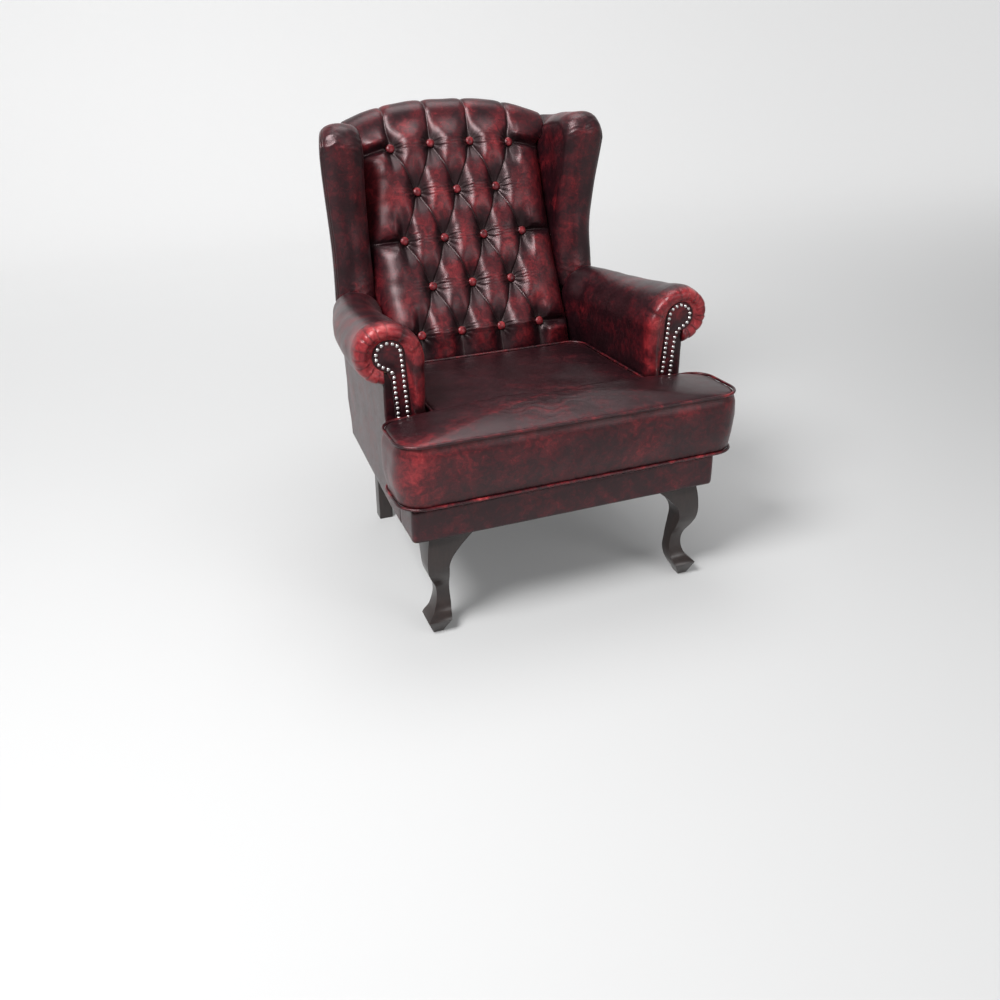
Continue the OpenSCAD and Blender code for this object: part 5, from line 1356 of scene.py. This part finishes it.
def leg_inner(z, ear):
    curve = curve_at(INNER_STOPS, z)
    return curve if ear else np.where(z > 172, np.minimum(curve, 59 + 0.05 * (z - 172)), curve)


leg_z = np.concatenate([[0, 12, 24], np.linspace(34, LEG_TOP, 64)])
print("the ankle is", round(float(leg_inner(34.0, True) - leg_outer(34.0))), "mm thick")

# %% [markdown]
# A slab is the leg's outline in one direction, pushed through the whole plank. The Boolean keeps only what
# lies in both slabs, as a leg is what is left after the saw has cut from both sides.

# %% Slabs, cuts and broken corners
def new_object(name, data):
    thing = bpy.data.objects.new(name, data)
    bpy.context.collection.objects.link(thing)
    return thing


def slab(name, outline, axis, low, high):
    """A closed outline [(a, z)] in the plane across the axis, pushed from low to high along the axis."""
    mesh = bpy.data.meshes.new(name)
    spots = [[low, a, z] if axis == "X" else [a, low, z] for a, z in outline]
    mesh.from_pydata([tuple(metres(p)) for p in spots], [], [list(range(len(spots)))])
    piece = new_object(name, mesh)
    select_only(piece)
    bpy.ops.object.mode_set(mode="EDIT")
    bpy.ops.mesh.select_all(action="SELECT")
    move = ((high - low) / 1000, 0, 0) if axis == "X" else (0, (high - low) / 1000, 0)
    bpy.ops.mesh.extrude_region_move(TRANSFORM_OT_translate={"value": move})
    bpy.ops.mesh.select_all(action="SELECT")
    bpy.ops.mesh.normals_make_consistent(inside=False)
    bpy.ops.object.mode_set(mode="OBJECT")
    return piece


def boolean(piece, other, how):
    bpy.context.view_layer.objects.active = piece
    cut = piece.modifiers.new("cut", "BOOLEAN")
    cut.operation, cut.object, cut.solver = how, other, "EXACT"
    bpy.ops.object.modifier_apply(modifier=cut.name)
    bpy.data.objects.remove(other)


def sawn(axis, ear, flip):
    ups = list(zip(leg_outer(leg_z), leg_z))
    downs = list(zip(leg_inner(leg_z, ear), leg_z))[::-1]
    sign = -1 if flip else 1
    if axis == "X":
        return slab("sawn", [(float(a) - KNEE_Y, float(z)) for a, z in ups + downs], "X", sign * 200, sign * 380)
    return slab("sawn", [(sign * (KNEE_X - float(a)), float(z)) for a, z in ups + downs], "Y", -30, 200)


def broken_corners(piece, width, limit):
    """Bevel every corner sharper than the limit, and shade the faces smooth up to a crisp edge."""
    select_only(piece)
    bevel = piece.modifiers.new("broken corners", "BEVEL")
    bevel.width, bevel.segments, bevel.limit_method, bevel.angle_limit = width, 3, "ANGLE", math.radians(limit)
    bpy.ops.object.modifier_apply(modifier=bevel.name)
    bpy.ops.object.shade_smooth_by_angle(angle=math.radians(32))
    print(piece.name, "has", len(piece.data.polygons), "faces")


# %% [markdown]
# The legs are beech stained nearly black, with a satin lacquer. The grain is noise, stretched along the
# leg, and the stain is worn a little unevenly.

# %% Dark stained wood
def dark_wood(name):
    material, nodes, links, shader, place = new_material(name, Coat_Weight=0.25, Coat_Roughness=0.25)
    grain = noise_of(nodes, stretched(nodes, place, (1.0, 1.0, 0.12)), 160.0, 5.0, 0.6, 0.5)
    wear = noise_of(nodes, place, 24.0, 4.0, 0.62)
    tone = value_node(nodes, "MULTIPLY_ADD", wear, 0.45, value_node(nodes, "MULTIPLY", grain, 0.55))
    colour = ramp_of(nodes, tone, [(0.25, (0.006, 0.0036, 0.0034)), (0.80, (0.030, 0.0155, 0.0125))])
    links.new(colour, shader.inputs["Base Color"])
    links.new(value_node(nodes, "MULTIPLY_ADD", wear, 0.24, 0.22), shader.inputs["Roughness"])
    links.new(bump_of(nodes, grain, 0.18, 0.0006), shader.inputs["Normal"])
    return material


leg_wood = dark_wood("dark stained wood")
print("the legs are", leg_wood.name)

# %% [markdown]
# The blank is one square post with an ear on each side. So two crossed pairs of slabs are cut, each pair
# with the ear on one side, and joined. The rear legs are plain square ones, cut to the solids' sizes.

# %% The legs
for side in ("left", "right"):
    flip = side == "left"
    first = sawn("X", False, flip)
    boolean(first, sawn("Y", True, flip), "INTERSECT")
    second = sawn("X", True, flip)
    boolean(second, sawn("Y", False, flip), "INTERSECT")
    boolean(first, second, "UNION")
    first.name = first.data.name = "cabriole_leg_" + side
    broken_corners(first, 0.0016, 40)
    finish(first, leg_wood, ["front_leg_" + side])
    bpy.ops.mesh.primitive_cube_add(size=1, location=(0, 0, 0))
    rear = bpy.context.object
    rear.name = rear.data.name = "rear_leg_" + side
    low, high = (np.array(corner[:]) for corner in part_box("back_leg_" + side))
    for vertex in rear.data.vertices:
        vertex.co = [float(value) for value in mix(low, high, np.array(vertex.co[:]) + 0.5)]
    broken_corners(rear, 0.0018, 30)
    finish(rear, leg_wood, ["back_leg_" + side])

# %% [markdown]
# ## The pieces that stay from the solids
# The frame, springs, bolts, clips, webbing and linings have their real shapes already, so they only get
# materials: pale beech with its grain, drawn steel wire, and black lining and webbing with a weave.

# %% Wood and cloth
def beech(name):
    material, nodes, links, shader, place = new_material(name, Roughness=0.6)
    grain = noise_of(nodes, stretched(nodes, place, (0.15, 1.0, 1.0)), 120.0, 5.0, 0.6, 0.4)
    links.new(ramp_of(nodes, grain, [(0, (0.30, 0.18, 0.09)), (1, (0.56, 0.39, 0.23))]), shader.inputs["Base Color"])
    return material


def cloth(name, colour, scale):
    material, nodes, links, shader, place = new_material(name, Roughness=0.85)
    weave = nodes.new("ShaderNodeTexWave")
    weave.inputs["Scale"].default_value = scale
    links.new(place, weave.inputs["Vector"])
    steps = [(0, [c * 0.55 for c in colour]), (1, colour)]
    links.new(ramp_of(nodes, weave.outputs["Fac"], steps), shader.inputs["Base Color"])
    return material


looks = {"frame_wood": beech("raw beech"),
         "spring_steel": metal("drawn wire", (0.42, 0.42, 0.43), 0.32, 0.2),
         "lining": cloth("black lining", (0.03, 0.03, 0.032), 400.0),
         "webbing": cloth("webbing", (0.34, 0.27, 0.18), 300.0)}
slots = {entry["node"]: entry["material_slot"] for entry in frame["record"]["subparts"]}
kept = 0
for node, obj in frame["nodes"].items():
    if slots.get(node) in looks:
        obj.data.materials.clear()
        obj.data.materials.append(looks[slots[node]])
        kept += 1
print(kept, "nodes keep their solid shape")

# %% [markdown]
# ## Studio
# The chair stands on a pale floor that runs up into a pale backdrop. Real paper is lit by lamps of its
# own further back, so here it glows a little there, but only where the camera or a reflection sees it,
# and the chair's own light isn't changed.

# %% The floor
def pale(name, colour):
    """Pale paper that glows a little far from the chair, only where the camera or a reflection sees it."""
    material, nodes, links, shader, place = new_material(
        name, Base_Color=(*colour, 1), Roughness=0.7, Emission_Color=(1, 1, 1, 1))
    away = nodes.new("ShaderNodeSeparateXYZ")
    links.new(place, away.inputs[0])
    far = nodes.new("ShaderNodeMapRange")
    far.interpolation_type = "SMOOTHSTEP"
    far.inputs["From Min"].default_value, far.inputs["From Max"].default_value = -0.6, 4.0
    far.inputs["To Min"].default_value, far.inputs["To Max"].default_value = 0.05, 0.50
    links.new(away.outputs["Y"], far.inputs["Value"])
    ray = nodes.new("ShaderNodeLightPath").outputs
    seen = value_node(nodes, "MAXIMUM", ray["Is Camera Ray"], ray["Is Glossy Ray"])
    seen = value_node(nodes, "MAXIMUM", seen, ray["Is Transmission Ray"])
    links.new(value_node(nodes, "MULTIPLY", seen, far.outputs["Result"]), shader.inputs["Emission Strength"])
    return material


select_only()
sweep = [(-7.0, 0.0), (3.2, 0.0)] + [(3.2 + 1.2 * math.sin(a), 1.2 - 1.2 * math.cos(a))
                                     for a in np.radians(np.linspace(6, 90, 15))] + [(4.4, 6.0)]
mesh = bpy.data.meshes.new("studio_floor")
mesh.from_pydata([(x, y, z) for y, z in sweep for x in (-8.0, 8.0)], [],
                 [(2 * k, 2 * k + 1, 2 * k + 3, 2 * k + 2) for k in range(len(sweep) - 1)])
floor = new_object("studio_floor", mesh)
for face in mesh.polygons:
    face.use_smooth = True
floor.data.materials.append(pale("pale paper", (0.53, 0.53, 0.53)))
print("the floor has", len(mesh.polygons), "faces")

# %% [markdown]
# One large soft lamp hangs above and to the left, a weaker one fills from the front and one lights the
# top, and the pale world softens every shadow. A disk of light gives soft shadows, as a softbox does.

# %% The lamps
def lamp(name, place, target, size, power):
    light = bpy.data.lights.new(name, "AREA")
    light.shape, light.size, light.energy = "DISK", size, power
    holder = new_object(name, light)
    holder.location = place
    way = np.array(target) - np.array(place)
    holder.rotation_euler = (math.atan2(math.hypot(way[0], way[1]), -way[2]), 0, math.atan2(-way[0], way[1]))
    print(name, "gives", power, "W")


lamp("high left", (-1.9, -1.2, 3.0), (0, 0, 0.5), 1.4, 140.0)
lamp("front fill", (1.6, -3.0, 1.9), (0, 0, 0.5), 1.6, 22.0)
lamp("top", (0.3, 0.6, 3.2), (0, 0, 0.6), 1.8, 30.0)
world = bpy.data.worlds.new("pale room")
bpy.context.scene.world = world
world.use_nodes = True
background = world.node_tree.nodes["Background"].inputs
background["Color"].default_value, background["Strength"].default_value = (0.90, 0.91, 0.92, 1), 0.42

# %% [markdown]
# The camera stands where the photographer's did. Its place, turn and lens were fitted to the chair's
# straight edges in the photo. The Standard view keeps the colours as they are lit.

# %% The camera
camera_data = bpy.data.cameras.new("camera")
camera_data.lens, camera_data.sensor_width = 34.34, 36.0
camera_data.shift_x, camera_data.shift_y = -0.001, -0.083
camera = new_object("camera", camera_data)
camera.location = (-0.840, -2.132, 1.330)
camera.rotation_euler = (math.radians(65.79), math.radians(0.12), math.radians(-21.68))
bpy.context.scene.camera = camera
bpy.context.scene.view_settings.view_transform = "Standard"
print("lens", round(camera_data.lens, 2), "mm")
